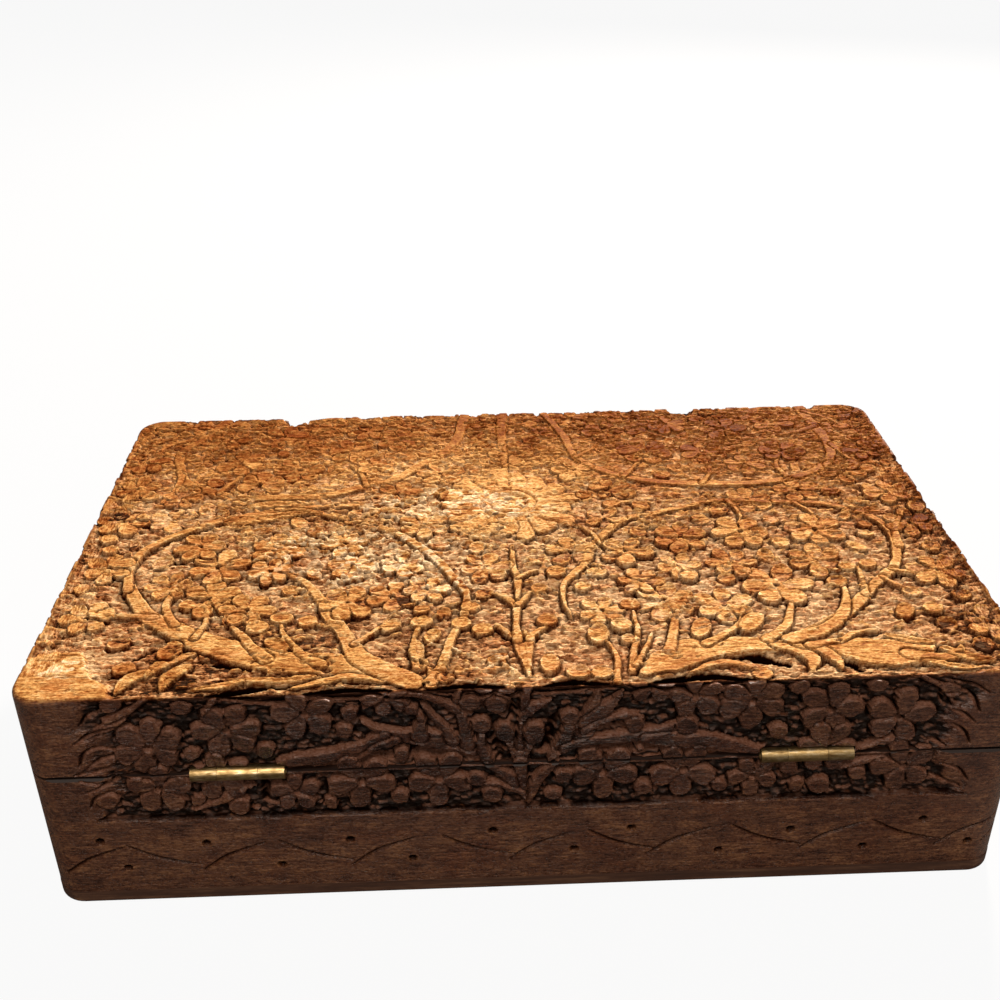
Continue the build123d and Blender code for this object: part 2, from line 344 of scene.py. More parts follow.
        # a size, and the share of the room about it that has to be open
        for size, need in ((0.95, 0.86), (0.8, 0.86)):
            for u, v in chance.uniform(box[:2], box[2:], (count, 2)):
                if self.room(u, v, 8.2 * size) > need:
                    self.flower(u, v, size, chance.integers(5, 7), chance.uniform(0, 6.3),
                                -0.4 + chance.uniform(-0.2, 0.1), dish)
        for radius, need in ((3.0, 0.9), (2.3, 0.95)):
            for u, v in chance.uniform(box[:2], box[2:], (2 * count, 2)):
                if self.room(u, v, radius * 1.35) > need:
                    self.disc(u, v, radius * chance.uniform(0.9, 1.3),
                              radius * chance.uniform(0.75, 1.0), chance.uniform(0, 3.1),
                              -0.45 + chance.uniform(-0.3, 0.1),
                              tuple(chance.uniform(-0.4, 0.4, 2)), dish * chance.uniform(0.2, 1.5))

    def at(self, sheet, u, v):
        """The sheet's value at any spots, by straight lines between its points."""
        rows, cols = self.shape
        x = np.clip((u - self.left) / SHEET_STEP, 0, cols - 1.001)
        y = np.clip((v - self.low) / SHEET_STEP, 0, rows - 1.001)
        i, j = x.astype(int), y.astype(int)
        fx, fy = x - i, y - j
        return ((sheet[j, i] * (1 - fx) + sheet[j, i + 1] * fx) * (1 - fy)
                + (sheet[j + 1, i] * (1 - fx) + sheet[j + 1, i + 1] * fx) * fy)

    def read_surface(self, ground_depth):
        """Maps of the surface: painted shade with dirt in the creases, a painted highlight on ledges
        that face up, rubbed edges and the cut-away ground.
        """
        height = self.height
        close = soften(height, 0.7)
        # painted shade and dirt fill the outlines unevenly
        line = np.clip(self.outline * (0.75 + 0.5 * ripple(self.shape, 4.0, 64)), 0, 1)
        fine = soften(height, 0.16)
        slope = np.gradient(fine, SHEET_STEP, axis=0)
        steep = np.hypot(slope, np.gradient(fine, SHEET_STEP, axis=1))
        # painted shade and dirt lie on steep walls too, and most where the gouge dug below the ground,
        # which is painted black
        wall = ease((steep - 0.8) / 1.1) * ease((0.65 - height + close) / 0.4)
        dug = ease((-ground_depth - 0.7 - height) / 1.1)
        crease_shading_and_dirt = np.clip((close - height) / 0.25, 0, 1) * (0.25 + 0.75 * line)
        self.maps = {
            "crease_shading_and_dirt": np.maximum(crease_shading_and_dirt, 0.92 * wall) + 1.2 * dug,
            # a painted highlight goes on ledges that face up
            "ledge_highlight": np.clip(-slope - 0.35, 0, 1),
            "rubbed": np.clip((height - close - 0.1) / 0.3, 0, 1),
            "ground": ease((0.5 * ground_depth + height) / (-0.3 * ground_depth)),
            "flake": 0.5 * self.chip + self.tint,
        }

    def patches(self, base, spots, seed):
        """A map with soft-edged patches: (u, v, half-length, half-width, amount) over a base."""
        value = np.full(self.shape, float(base))
        ragged_u = self.true_u + 5 * ripple(self.shape, 3.5, seed)
        ragged_v = self.true_v + 4 * ripple(self.shape, 3.5, seed + 1)
        for u, v, half_u, half_v, amount in spots:
            value += amount * np.exp(-((ragged_u - u) / half_u) ** 2 - ((ragged_v - v) / half_v) ** 2)
        return value

# ---------------------------------------------------------------- the lid's carving
# Spots on the top are (u, v): u runs along the box, v across it from the hinged edge. A stem is
# the points that its line goes through, and its widths along it.

CENTRE_STEMS = (
    (((0, 5), (-0.4, 11), (-0.6, 17), (-0.6, 21)), (1.2, 3.2, 5.6, 6.6)),
    (((-2, 20.5), (-4.6, 24), (-7.5, 27)), (3.0, 2.2, 1.6)),
    (((1, 20.5), (3.6, 24), (6, 26)), (3.0, 2.2, 1.6)),
    (((-2, 20), (-2, 27), (-1.8, 34), (-1.2, 37)), (3.4, 2.0, 2.4, 3.4)),
    (((-1.8, 36), (-4.6, 39.5), (-7, 41.5)), (2.6, 2.0, 1.4)),
    (((-1.2, 36), (1, 39), (2.6, 42)), (2.6, 2.0, 1.4)),
    (((-1.4, 38.5), (-0.8, 44), (-0.6, 50), (-1.6, 55), (-1.5, 66)), (1.6, 2.8, 2.6, 1.8)),
    (((-0.4, 49), (2.6, 51.5), (4.6, 52.5)), (2.2, 1.6)),
    (((-24, 2), (-24.4, 8), (-26, 13)), (3.4, 1.8, 1.6)),
    (((-5.6, 9), (-6.4, 12.5), (-8.6, 13.6)), (1.8, 2.2, 1.2)),
    (((-1.5, 112), (-2, 125), (-2, 138), (-1, 155)), (2.0, 3.2, 4.2)),
)

RIGHT_STEMS = (
    (((12.6, 30), (11, 38), (12.2, 46), (15.6, 51), (19, 56), (21.5, 64), (28, 74), (34, 80), (42, 82),
      (50, 85), (65, 89), (80, 87), (95, 85), (106, 78), (110, 68), (108, 56), (104, 48), (97, 41),
      (92, 35), (84, 27), (72, 18)), (1.2, 2.8, 3.4, 2.8, 2.4, 2.8, 3.2, 3.6, 4.8)),
    (((29, 5), (34, 9), (41, 13), (50, 15), (60, 15), (70, 15.5)), (4.0, 9.6, 11.0, 7.6, 6.4, 5.6)),
    (((39, 3.6), (45, 7.2), (51, 8), (57, 4.6)), (1.4, 2.8, 2.8, 1.6)),
    (((70, 14.6), (77, 13), (84, 11.4), (92, 10), (99, 10.4), (103, 12)),
     (3.0, 7.0, 11.0, 12.0, 9.0, 2.0)),
    (((63, 14.4), (68.4, 12.6), (71.4, 8.6), (70, 4)), (3.0, 4.4, 4.6, 2.0)),
    (((68.6, 14.4), (74, 12.2), (77, 8.2), (77.6, 4)), (2.4, 3.6, 3.8, 1.6)),
    (((96, 9), (103, 7.4), (108, 8.6), (110, 12)), (5.0, 4.0, 3.4, 1.6)),
    (((36, 14), (38, 20), (39.5, 27), (40, 34), (38, 38)), (3.6, 2.8, 1.8)),
    (((46, 16), (52, 20), (57, 26), (59, 33)), (3.4, 2.2, 1.4)),
    (((62, 17), (68, 23), (71, 30), (73, 36)), (4.0, 2.8, 1.6)),
    (((68, 17), (78, 21), (84, 27), (87, 34), (88, 40)), (5.0, 3.6, 1.8)),
    (((72, 14), (80, 16), (86, 19), (92, 20)), (3.4, 2.6, 1.0)),
    (((21, 18), (22.5, 10), (21.5, 1)), (1.4, 2.2, 2.6)),
    (((29, 31), (29, 22), (27, 14), (26, 6)), (1.5, 2.2, 2.6)),
    (((27, 8), (30, 15), (32.5, 21)), (2.2, 1.4)),
    (((110, 60), (112, 70), (117, 79)), (3.0, 1.6)),
    (((93, 36), (94, 43), (95, 50)), (2.6, 1.4)),
    (((104, 48), (110, 46), (115, 47)), (2.4, 1.4)),
    (((100, 44), (103, 40), (106, 38)), (2.0, 1.4)),
    (((24, 66), (22, 72), (18, 77)), (2.0, 1.2)),
    (((66, 88), (68, 80), (66, 74)), (2.0, 1.4)),
    (((86, 86), (90, 79), (88, 74)), (2.0, 1.4)),
    (((13, 155), (18, 140), (20, 130), (22, 120), (28, 112), (36, 106), (46, 102), (60, 100),
      (75, 99), (88, 102), (98, 107), (105, 115), (107, 126), (106, 138), (104, 155)),
     (3.4, 3.0, 3.2, 3.6, 3.4, 3.6, 4.2)),
    (((108, 124), (111, 114), (113, 106)), (2.6, 1.4)),
    (((36, 106), (40, 112), (43, 118)), (2.4, 1.4)),
    (((88, 102), (86, 110), (88, 116)), (2.4, 1.4)),
    (((22, 120), (28, 126), (31, 132)), (2.2, 1.4)),
    (((60, 100), (64, 108), (64, 116)), (2.2, 1.4)),
    (((106, 138), (98, 134), (92, 132)), (2.4, 1.2)),
    (((105, 150), (112, 144), (115, 138)), (2.4, 1.4)),
)

LEFT_STEMS = (
    (((-28, 2.4), (-33, 6), (-40, 9.8), (-49, 12.4), (-58, 13.4), (-66, 15), (-76, 19.6), (-87, 25.6),
      (-94, 31), (-100, 36), (-104, 42), (-108, 50)), (4.0, 8.0, 9.0, 8.0, 5.4, 4.0)),
    (((-58, 2.6), (-50, 5.4), (-44, 7), (-36, 4.4)), (1.6, 3.0, 2.8, 1.8)),
    (((-29, 4), (-36, 9), (-42, 14), (-45, 20), (-48, 27), (-52, 34), (-55, 42), (-60, 50),
      (-66, 55)), (7.0, 6.6, 5.0, 4.2, 3.0, 1.6)),
    (((-66, 15), (-70, 20), (-74, 26), (-77, 30)), (4.2, 3.0, 1.6)),
    (((-52, 12), (-58, 18), (-62, 24), (-64, 30)), (3.8, 2.6, 1.4)),
    (((-92, 31), (-96, 40), (-95, 48), (-92, 54)), (3.0, 2.4, 1.2)),
    (((-86, 25), (-84, 32), (-85, 39)), (2.6, 1.4)),
    (((-98, 35), (-106, 36), (-112, 37)), (2.4, 1.4)),
    (((-108, 48), (-110, 58), (-109, 66), (-105, 73), (-99, 78), (-92, 83), (-84, 87), (-72, 90),
      (-58, 92), (-42, 92)), (3.0, 3.4, 3.2, 3.0, 2.2)),
    (((-16, 30), (-15, 42), (-19, 51), (-24, 61), (-30, 69), (-38, 77), (-48, 83), (-60, 88),
      (-72, 91)), (2.6, 3.0, 2.8, 2.4)),
    (((-24, 4), (-21, 12), (-19, 22), (-16, 31)), (4.0, 3.0, 2.4)),
    (((-28, 10), (-29, 20), (-27.5, 27)), (2.4, 1.6)),
    (((-44, 20), (-39, 26), (-36, 31)), (2.4, 1.4)),
    (((-49, 28), (-56, 30)), (2.0, 1.2)),
    (((-109, 62), (-115, 66), (-118, 70)), (2.2, 1.2)),
    (((-14, 155), (-17, 136), (-20, 128), (-24, 122), (-30, 116), (-36, 109), (-46, 104), (-58, 99),
      (-72, 98), (-85, 99), (-95, 103), (-103, 109), (-107, 118), (-109, 130), (-104, 140),
      (-97, 155)), (4.0, 3.2, 3.4, 3.2, 3.4, 3.4, 4.2)),
    (((-106, 114), (-106, 105), (-109, 97)), (2.6, 1.4)),
    (((-46, 104), (-48, 112), (-52, 118)), (2.4, 1.4)),
    (((-92, 102), (-88, 110), (-86, 116)), (2.4, 1.4)),
    (((-24, 122), (-32, 126), (-38, 130)), (2.2, 1.4)),
    (((-107, 140), (-114, 136), (-117, 130)), (2.4, 1.4)),
)

# larger flowers, as u, v, size and turn
TOP_FLOWERS = (
    (21, 32, 0.8, 0.3), (38, 36, 1.08, 0.2), (33, 46, 0.8, 0.9), (54, 33, 1.0, 0.5), (70, 42, 1.2, 0.1),
    (116, 47, 0.95, 0.7), (66, 70, 1.05, 0.0), (88, 70, 1.1, 0.6), (48, 68, 1.05, 0.35),
    (33, 138, 0.95, 0.2), (45, 123, 1.1, 0.8), (84, 54, 1.0, 0.4), (60, 54, 0.9, 1.0),
    (45, 53, 0.8, 0.2), (64, 122, 0.95, 0.5), (74, 138, 1.0, 0.1), (90, 121, 0.95, 0.9),
    (55, 142, 0.9, 0.3), (92, 142, 0.95, 0.6), (116, 92, 0.95, 0.4), (117, 120, 0.85, 0.2),
    (76, 112, 0.8, 0.6), (-85, 43, 1.05, 0.4), (-74, 37, 0.95, 0.9), (-47, 39, 1.0, 0.15),
    (-35, 42, 0.9, 0.5), (-116, 36, 0.9, 0.2), (-116, 60, 0.9, 0.5), (-118, 86, 1.0, 0.9),
    (-85, 59, 1.05, 0.3), (-69, 68, 1.05, 0.7), (-92, 70, 0.9, 0.1), (-47, 58, 0.95, 0.8),
    (-50, 70, 0.9, 0.2), (-33, 58, 0.85, 0.6), (-26, 45, 0.8, 0.1), (-70, 56, 0.8, 0.3),
    (-36, 136, 1.05, 0.4), (-52, 128, 1.0, 0.9), (-68, 116, 1.05, 0.1), (-88, 122, 1.05, 0.6),
    (-76, 140, 1.0, 0.3), (-94, 140, 0.9, 0.8), (-118, 106, 0.9, 0.4), (-60, 145, 0.85, 0.0),
    (-119, 124, 0.9, 0.2), (-44, 117, 0.8, 0.5),
)

# single petals, buds and berries, as u, v, long and short half-widths and turn
TOP_BUDS = (
    (5.5, 10, 4.4, 2.9, 1.6), (12.3, 6.2, 3.3, 3.0, 0), (18.2, 5.4, 3.1, 2.9, 0),
    (10.1, 52, 3.1, 3.0, 0), (-20.6, 5.7, 2.4, 2.3, 0), (28.7, 35, 2.9, 2.6, 0),
    (-16.6, 28.2, 3.0, 2.9, 0), (-7.4, 13, 3.4, 2.0, 0.5), (19, 22, 4.8, 3.2, 1.5),
    (25.5, 25.5, 3.1, 2.9, 0), (26.5, 19.5, 2.4, 2.2, 0), (17, 44, 2.6, 2.4, 0), (47, 48, 2.8, 2.6, 0),
    (57, 46, 2.8, 2.5, 0), (46, 23, 5.2, 2.8, 1.2), (59.5, 25, 5.4, 2.9, 0.9), (87, 43, 3.2, 2.9, 0),
    (92, 50, 2.7, 2.5, 0), (98, 51, 2.8, 2.5, 0), (106, 37, 2.8, 2.6, 0), (101, 28, 4.2, 2.7, 1.1),
    (109, 29, 3.1, 2.8, 0), (119, 35, 3.0, 2.8, 0), (28, 62, 2.9, 2.7, 0), (30, 89, 3.0, 2.7, 0),
    (36, 95, 2.8, 2.6, 0), (22, 95, 2.7, 2.5, 0), (8, 145, 3.0, 2.8, 0), (8, 133, 3.0, 2.8, 0),
    (11, 127, 2.6, 2.4, 0), (6, 28.5, 3.1, 2.9, 0), (5, 43.5, 2.7, 2.5, 0), (115, 107, 2.8, 2.6, 0),
    (115, 138, 2.9, 2.7, 0), (117, 129, 2.6, 2.4, 0), (99, 93, 3.2, 2.8, 0), (-11, 25.5, 3.1, 2.9, 0),
    (-10, 42, 2.8, 2.6, 0), (-76, 33, 2.9, 2.7, 0), (-70, 29, 3.3, 3.1, 0), (-64, 33, 3.3, 3.1, 0),
    (-64, 21, 4.6, 2.4, 2.4), (-57, 31, 2.9, 2.7, 0), (-63, 46, 2.8, 2.6, 0), (-91, 20, 4.4, 3.2, 1.3),
    (-101, 13, 3.2, 2.8, 0), (-28, 17, 4.8, 2.3, 1.7), (-27, 29.5, 3.3, 2.8, 0),
    (-35, 28, 3.6, 2.5, 0.8), (-24, 23, 3.6, 2.2, 1.2), (-14, 36, 2.8, 2.6, 0),
    (-113, 101, 2.9, 2.7, 0), (-112, 89, 2.7, 2.5, 0), (-120, 76, 3.0, 2.8, 0), (-118, 70, 2.7, 2.5, 0),
    (-9, 131, 2.9, 2.6, 0), (-10, 145, 2.9, 2.6, 0), (-27, 35, 2.6, 2.4, 0), (-105, 24, 3.4, 2.6, 0.5),
)

# bare ground between the stems, as u, v, half-length and half-width
TOP_BARE = (
    (-15.5, 13, 7, 7), (-5.5, 33, 3.4, 6), (5.5, 35, 4.4, 6), (12, 16, 5, 6), (2, 60, 3, 5),
    (34, 26, 3, 5), (46, 31, 4, 6), (53, 24, 4, 3.4), (61, 37, 4.4, 5), (63, 29, 4, 4), (80, 36, 5, 5),
    (98, 34, 3.4, 3), (76, 28, 3, 5), (-60, 38, 3.4, 5), (-82, 50, 3, 4), (-51, 20, 3, 4),
    (-36, 20, 4, 3), (-44, 38, 3, 4), (-100, 28, 4, 4), (-112, 17, 10, 6), (-113, 46, 4, 5),
    (104, 58, 3, 6), (30, 72, 3, 3), (50, 92, 8, 3), (-30, 60, 6, 5),
)

# pointed leaves, as the line of the midrib, the full width and how many side veins
TOP_LEAVES = (
    (((92, 18), (99, 15), (105, 14)), 3.6, 0), (((-88, 84), (-78, 86), (-62, 88)), 7.0, 9),
    (((-83, 93), (-74, 94), (-62, 93)), 4.4, 6), (((-50, 8), (-62, 6), (-76, 8)), 3.6, 0),
    (((-84, 19), (-92, 14), (-96, 8)), 4.0, 4), (((-70, 7), (-76, 4.4), (-84, 3)), 3.2, 0),
    (((-84, 14), (-89, 9), (-90, 3)), 4.6, 0), (((-94, 12), (-99, 8), (-101, 2)), 4.6, 0),
    (((104, 12), (112, 7), (117, 6)), 4.2, 0), (((98, 6.6), (106, 3.4), (113, 2.4)), 3.2, 0),
)

# deep shade under the branches near the hinged edge, as points, widths and how deep
TOP_HOLLOWS = (
    (((29, -1), (38, 2.0), (46, 2.8), (55, 0)), (3, 5, 4.6, 2), 3.2),
    (((50, 10.6), (58, 10.6), (65, 7.6)), (1.6, 4.0, 2.4), 3.0),
    (((73, 13.6), (78, 16.4), (84, 17.6)), (1.2, 3.0, 1.5), 2.6),
    (((76, 12.6), (80, 8.2), (82.6, 3.4)), (1.2, 3.0, 2.4), 3.0),
    (((86, 3.6), (93, 2.6), (99, 2)), (1.2, 1.8, 1.4), 1.6),
    (((-78, 0), (-68, 3.6), (-60, 5.6), (-50, 8)), (3, 5.2, 4.8, 1.6), 3.2),
    (((-57, -1), (-45, 1.6), (-34, 0)), (3, 4.4, 2.4), 3.0),
    (((-83, 16), (-77, 14.6), (-70, 12)), (1.2, 2.8, 1.5), 2.4),
    (((-24, 0), (-16, 2), (-7, 0)), (3.4, 4.5, 3.6), 2.4),
    (((4, 0), (11, 2), (19, 0)), (3, 4.4, 3.2), 2.2),
    (((97, 13), (104, 12.4), (111, 13)), (1.5, 2.8, 1.5), 1.8),
    (((-100, 18), (-94, 22), (-90, 22)), (1.5, 2.8, 1.5), 1.8),
)

# where a gouge ran over the far edge and left a notch: u, half-width and depth
FAR_NOTCHES = ((-110, 2.5, 0.9), (-73, 4.5, 3.6), (-30, 1.4, 1.5), (-10, 1.6, 1.6), (12, 1.6, 1.5),
               (30, 1.5, 1.3), (43, 2.0, 1.8), (62, 4.5, 2.6), (108, 1.8, 1.2))
FAR_EDGE = 155

# worn patches of the top as u, v, half-length, half-width and how far gone they are
TOP_WEAR = (
    (-36, 92, 20, 13, 0.5), (-52, 72, 24, 13, 0.4), (-84, 84, 18, 8, 0.2), (-45, 45, 26, 9, 0.2),
    (-14, 74, 9, 7, 0.3), (20, 72, 14, 8, 0.2), (-16, 12, 10, 9, 0.2), (-95, 130, 40, 18, 0.15),
    (70, 60, 40, 30, 0.06),
)


def rosette(face, u, v, radius=24.0, petals=17):
    """The big open flower, worn nearly flat: broad rays about a raised ring and a button."""
    win = face.window(u - radius - 3, u + radius + 3, v - radius - 3, v + radius + 3)
    du, dv = face.u[win] - u, face.v[win] - v
    out = np.hypot(du, dv)
    turn = (np.arctan2(dv, du) / (2 * math.pi)) % 1.0 * petals + 0.25 * ripple(out.shape, 3.0, 41)
    ray = np.floor(turn).astype(int) % petals
    chance = np.random.default_rng(face.seed + 40)
    across = np.abs(turn % 1.0 - 0.5) * 2
    tip = radius * chance.uniform(0.78, 1.0, petals)[ray] * (1 - 0.12 * across ** 3)
    lines = 0.07 * np.sin(turn * 19 + 3 * ripple(out.shape, 2.0, 42)) + 0.08 * ripple(out.shape, 0.5, 43)
    crest = (-0.38 + chance.uniform(-0.14, 0.1, petals)[ray] - 0.85 * across ** 6 * ease((out - 8) / 6)
             + lines * ease((out - 8) / 3))
    face.raise_part(win, tip - out, crest, 0.9)
    # the ring and the dished button are turned with a small gouge
    ring = -0.15 - 0.6 * ((out - 6.9) / 0.9) ** 2
    button = -0.62 - 0.1 * np.cos(out * 2.6) + 0.1 * ripple(out.shape, 0.35, 44)
    middle = np.where(out > 5.6, np.maximum(ring, -0.6), button)
    face.height[win] += (middle - face.height[win]) * ease((8.6 - out) / 0.5)
    for edge, deep in ((8.5, 0.6), (5.4, 0.5)):
        face.height[win] -= deep * np.exp(-((out - edge - 0.2 * ripple(out.shape, 2.0, 45)) / 0.4) ** 2)


def carve_top():
    """The lid's top: a rosette in the middle of a vine that grows from the hinged edge, and a
    second vine that grows from the far edge, with flowers all between."""
    face = CarvedFace(-HALF_LENGTH, HALF_LENGTH, 0.0, 2 * HALF_DEPTH, 11)
    u, v = face.true_u, face.true_v
    lump = facets(face.shape, 2.4, 1.0, 26)
    wander = ripple(face.shape, 3.0, 23)
    rough = 0.52 * lump + 0.18 * ripple(face.shape, 0.5, 21) + 0.2 * ripple(face.shape, (0.32, 1.3), 22)
    ground = rough + 0.25 * wander - GROUND * (1 - 0.5 * ease((v - 60) / 70))
    # a narrow border is left standing, cut away at the branches along the hinged edge and at the
    # notches, and the two corners by the hinged edge are plain
    inset = np.minimum(np.minimum(v, 2 * HALF_DEPTH - v), HALF_LENGTH - np.abs(u))
    border = ease((1.2 + 0.9 * wander - inset) / 0.6)
    border = border * (1 - ease(np.minimum(u + 92, 114 - u) / 6) * ease((12 - v) / 3))
    for place, half, _ in FAR_NOTCHES:
        border = border * (1 - ease((half + 0.6 - np.abs(u - place)) / 0.8) * ease((v - 140) / 4))
    corner = np.maximum(-102 - u, (u - 118) * 1.5 - 0.3 * v) - 0.8 * (v - 6)
    plain = ease((corner + 4 * wander) / 3) * ease((np.where(u < 0, 20, 9) + 3 * wander - v) / 2)
    stand = np.maximum(border, plain)
    face.height = ground * (1 - stand) - 0.25 * stand
    face.taken |= stand > 0.5
    # the hollows come first, then the vine, and the flowers lie over both
    for points, widths, deep in TOP_HOLLOWS:
        face.hollow(points, widths, deep)
    for stems in (CENTRE_STEMS, RIGHT_STEMS, LEFT_STEMS):
        for points, widths in stems:
            face.stem(points, widths, grooves=3 if max(widths) > 5.5 else 0)
    for points, width, veins in TOP_LEAVES:
        face.leaf(points, width, veins)
    rosette(face, -1.7, 90.7)
    for u0, v0, size, turn in TOP_FLOWERS:
        face.flower(u0, v0, size, turn=turn)
    for k, (u0, v0, long, short, turn) in enumerate(TOP_BUDS):
        face.disc(u0, v0, long, short, turn, -0.25, (0.1, -0.2), (0.3, 0.7, 0.5)[k % 3])
    for u0, v0, long, short in TOP_BARE:
        face.taken |= ((u - u0) / long) ** 2 + ((v - v0) / short) ** 2 < 1
    face.scatter((-124, 3, 124, 153), 900, 31, 0.45)
    for place, half, deep in FAR_NOTCHES:
        away = ((u - place) / half) ** 2 + ((v - FAR_EDGE) / (half * 1.1)) ** 2
        face.height -= deep * ease((1.15 - away) / 0.5)
    # wear takes the crests off in torn patches, worst on the left half and beside the rosette
    wear = face.patches(0.12, TOP_WEAR, 30)
    ragged = wear + 0.3 * wander + 0.28 * face.chip + 0.16 * ripple(face.shape, 1.0, 32)
    gone = ease((ragged - 0.42) / 0.3)
    flat = -0.9 + 1.7 * rough
    face.height += (flat - face.height) * 0.85 * gone * (face.height > -2.4)
    # the wood is torn and cracked along its grain, most where it is worn, least on the stems
    torn = ripple(face.shape, (0.2, 1.1), 24) + 0.9 * ripple(face.shape, 0.35, 25)
    rough_share = (0.5 + 1.2 * np.clip(wear, 0, 0.8)) * (1 - 0.6 * ease((v - 85) / 40))
    face.height += 0.2 * rough_share * torn * (1 - 0.7 * face.sleek)
    cracks = ease((ripple(face.shape, (0.16, 2.2), 28) - 0.8) / 0.3)
    face.height -= 0.55 * rough_share * cracks * (1 - 0.4 * face.sleek)
    face.height = np.clip(face.height, -4.6, -LEAST_CUT)
    return face


# ---------------------------------------------------------------- the carving round the sides
# Spots on the sides are (s, z): s runs round the box from the middle of the back, z up.

STRAIGHT_LONG = HALF_LENGTH - CORNER
STRAIGHT_SHORT = HALF_DEPTH - CORNER
QUARTER = CORNER * math.pi / 2
GIRTH = 4 * (STRAIGHT_LONG + STRAIGHT_SHORT + QUARTER)
END_MIDDLE = STRAIGHT_LONG + QUARTER + STRAIGHT_SHORT
FRONT_MIDDLE = GIRTH / 2
SEAM = -STRAIGHT_LONG - QUARTER - 4  # the sides' sheet starts and ends on a plain corner
LONG_PLAIN, END_PLAIN = 105, 62  # the vine thins out this far from the middle of a side

# as s, z, size, petals and turn
LONG_SIDE_FLOWERS = (
    (-94.5, 52.3, 1.05, 6, 0.35), (-74.8, 56.8, 1.05, 6, 0.1), (-55.3, 61.4, 1.0, 5, 0.55),
    (55.1, 61.2, 1.05, 6, 0.5), (75.2, 57.6, 1.03, 5, 0.0), (92.7, 54.3, 1.05, 5, 0.15),
    (41, 63, 0.9, 5, 0.5), (-35, 66, 0.8, 5, 0.6), (-8.6, 67, 0.7, 5, 0.2), (30, 67, 0.75, 5, 0.2),
    (-93.9, 38.5, 0.98, 5, 0.3), (-42.8, 39.0, 1.05, 5, 0.95), (-23.1, 39.0, 1.05, 5, 0.95),
    (18.8, 39.4, 1.05, 5, 0.95), (39.4, 39.2, 1.05, 5, 0.95), (96.2, 38.1, 1.0, 5, 0.6),
    (-59.6, 35.8, 0.75, 5, 0.3), (57.3, 36.4, 0.8, 5, 0.8),
)

# as s, z, long and short half-widths and turn
LONG_SIDE_BUDS = (
    (-6.4, 53.3, 3.4, 2.8, 1.8), (1.3, 52.9, 3.6, 2.8, 1.4), (-12.3, 55.8, 2.7, 2.6, 0),
    (-8.4, 62.3, 3.0, 2.9, 0), (-14.9, 63, 2.7, 2.6, 0), (10, 57.4, 2.7, 2.5, 0),
    (-29, 61.2, 1.9, 1.8, 0), (-32.3, 47.1, 2.7, 2.6, 0), (26.2, 54.6, 2.9, 2.8, 0),
    (39.4, 53.8, 3.1, 3.0, 0), (28, 46.4, 2.0, 1.4, 0), (-9.8, 32.8, 2.9, 2.8, 0),
    (5.9, 32.4, 2.8, 1.9, 0), (-74.5, 31.9, 3.0, 2.8, 0), (75, 32.4, 3.2, 2.9, 0),
    (-85, 64.5, 3.0, 2.6, 0.4), (-66, 50, 2.6, 2.4, 0), (-46, 55.4, 2.6, 2.4, 0),
    (62.5, 50.6, 2.7, 2.5, 0), (66.5, 65, 2.8, 2.4, 0.5), (-107.5, 35, 3.2, 2.6, 0.4),
    (104.5, 62.5, 3.2, 2.4, -0.5), (84.5, 36, 2.6, 2.3, 0), (86, 64.6, 2.7, 2.4, 0),
    (-84.6, 34.4, 2.6, 1.8, 0.5), (-13.5, 38.2, 2.6, 2.3, 0), (8.6, 38.2, 2.6, 2.2, 0),
    (29.3, 33.4, 2.6, 2.3, 0), (-33.3, 33.0, 2.6, 2.3, 0), (48.7, 33.6, 2.4, 2.2, 0),
    (66.5, 38.6, 2.6, 2.2, 0),
)

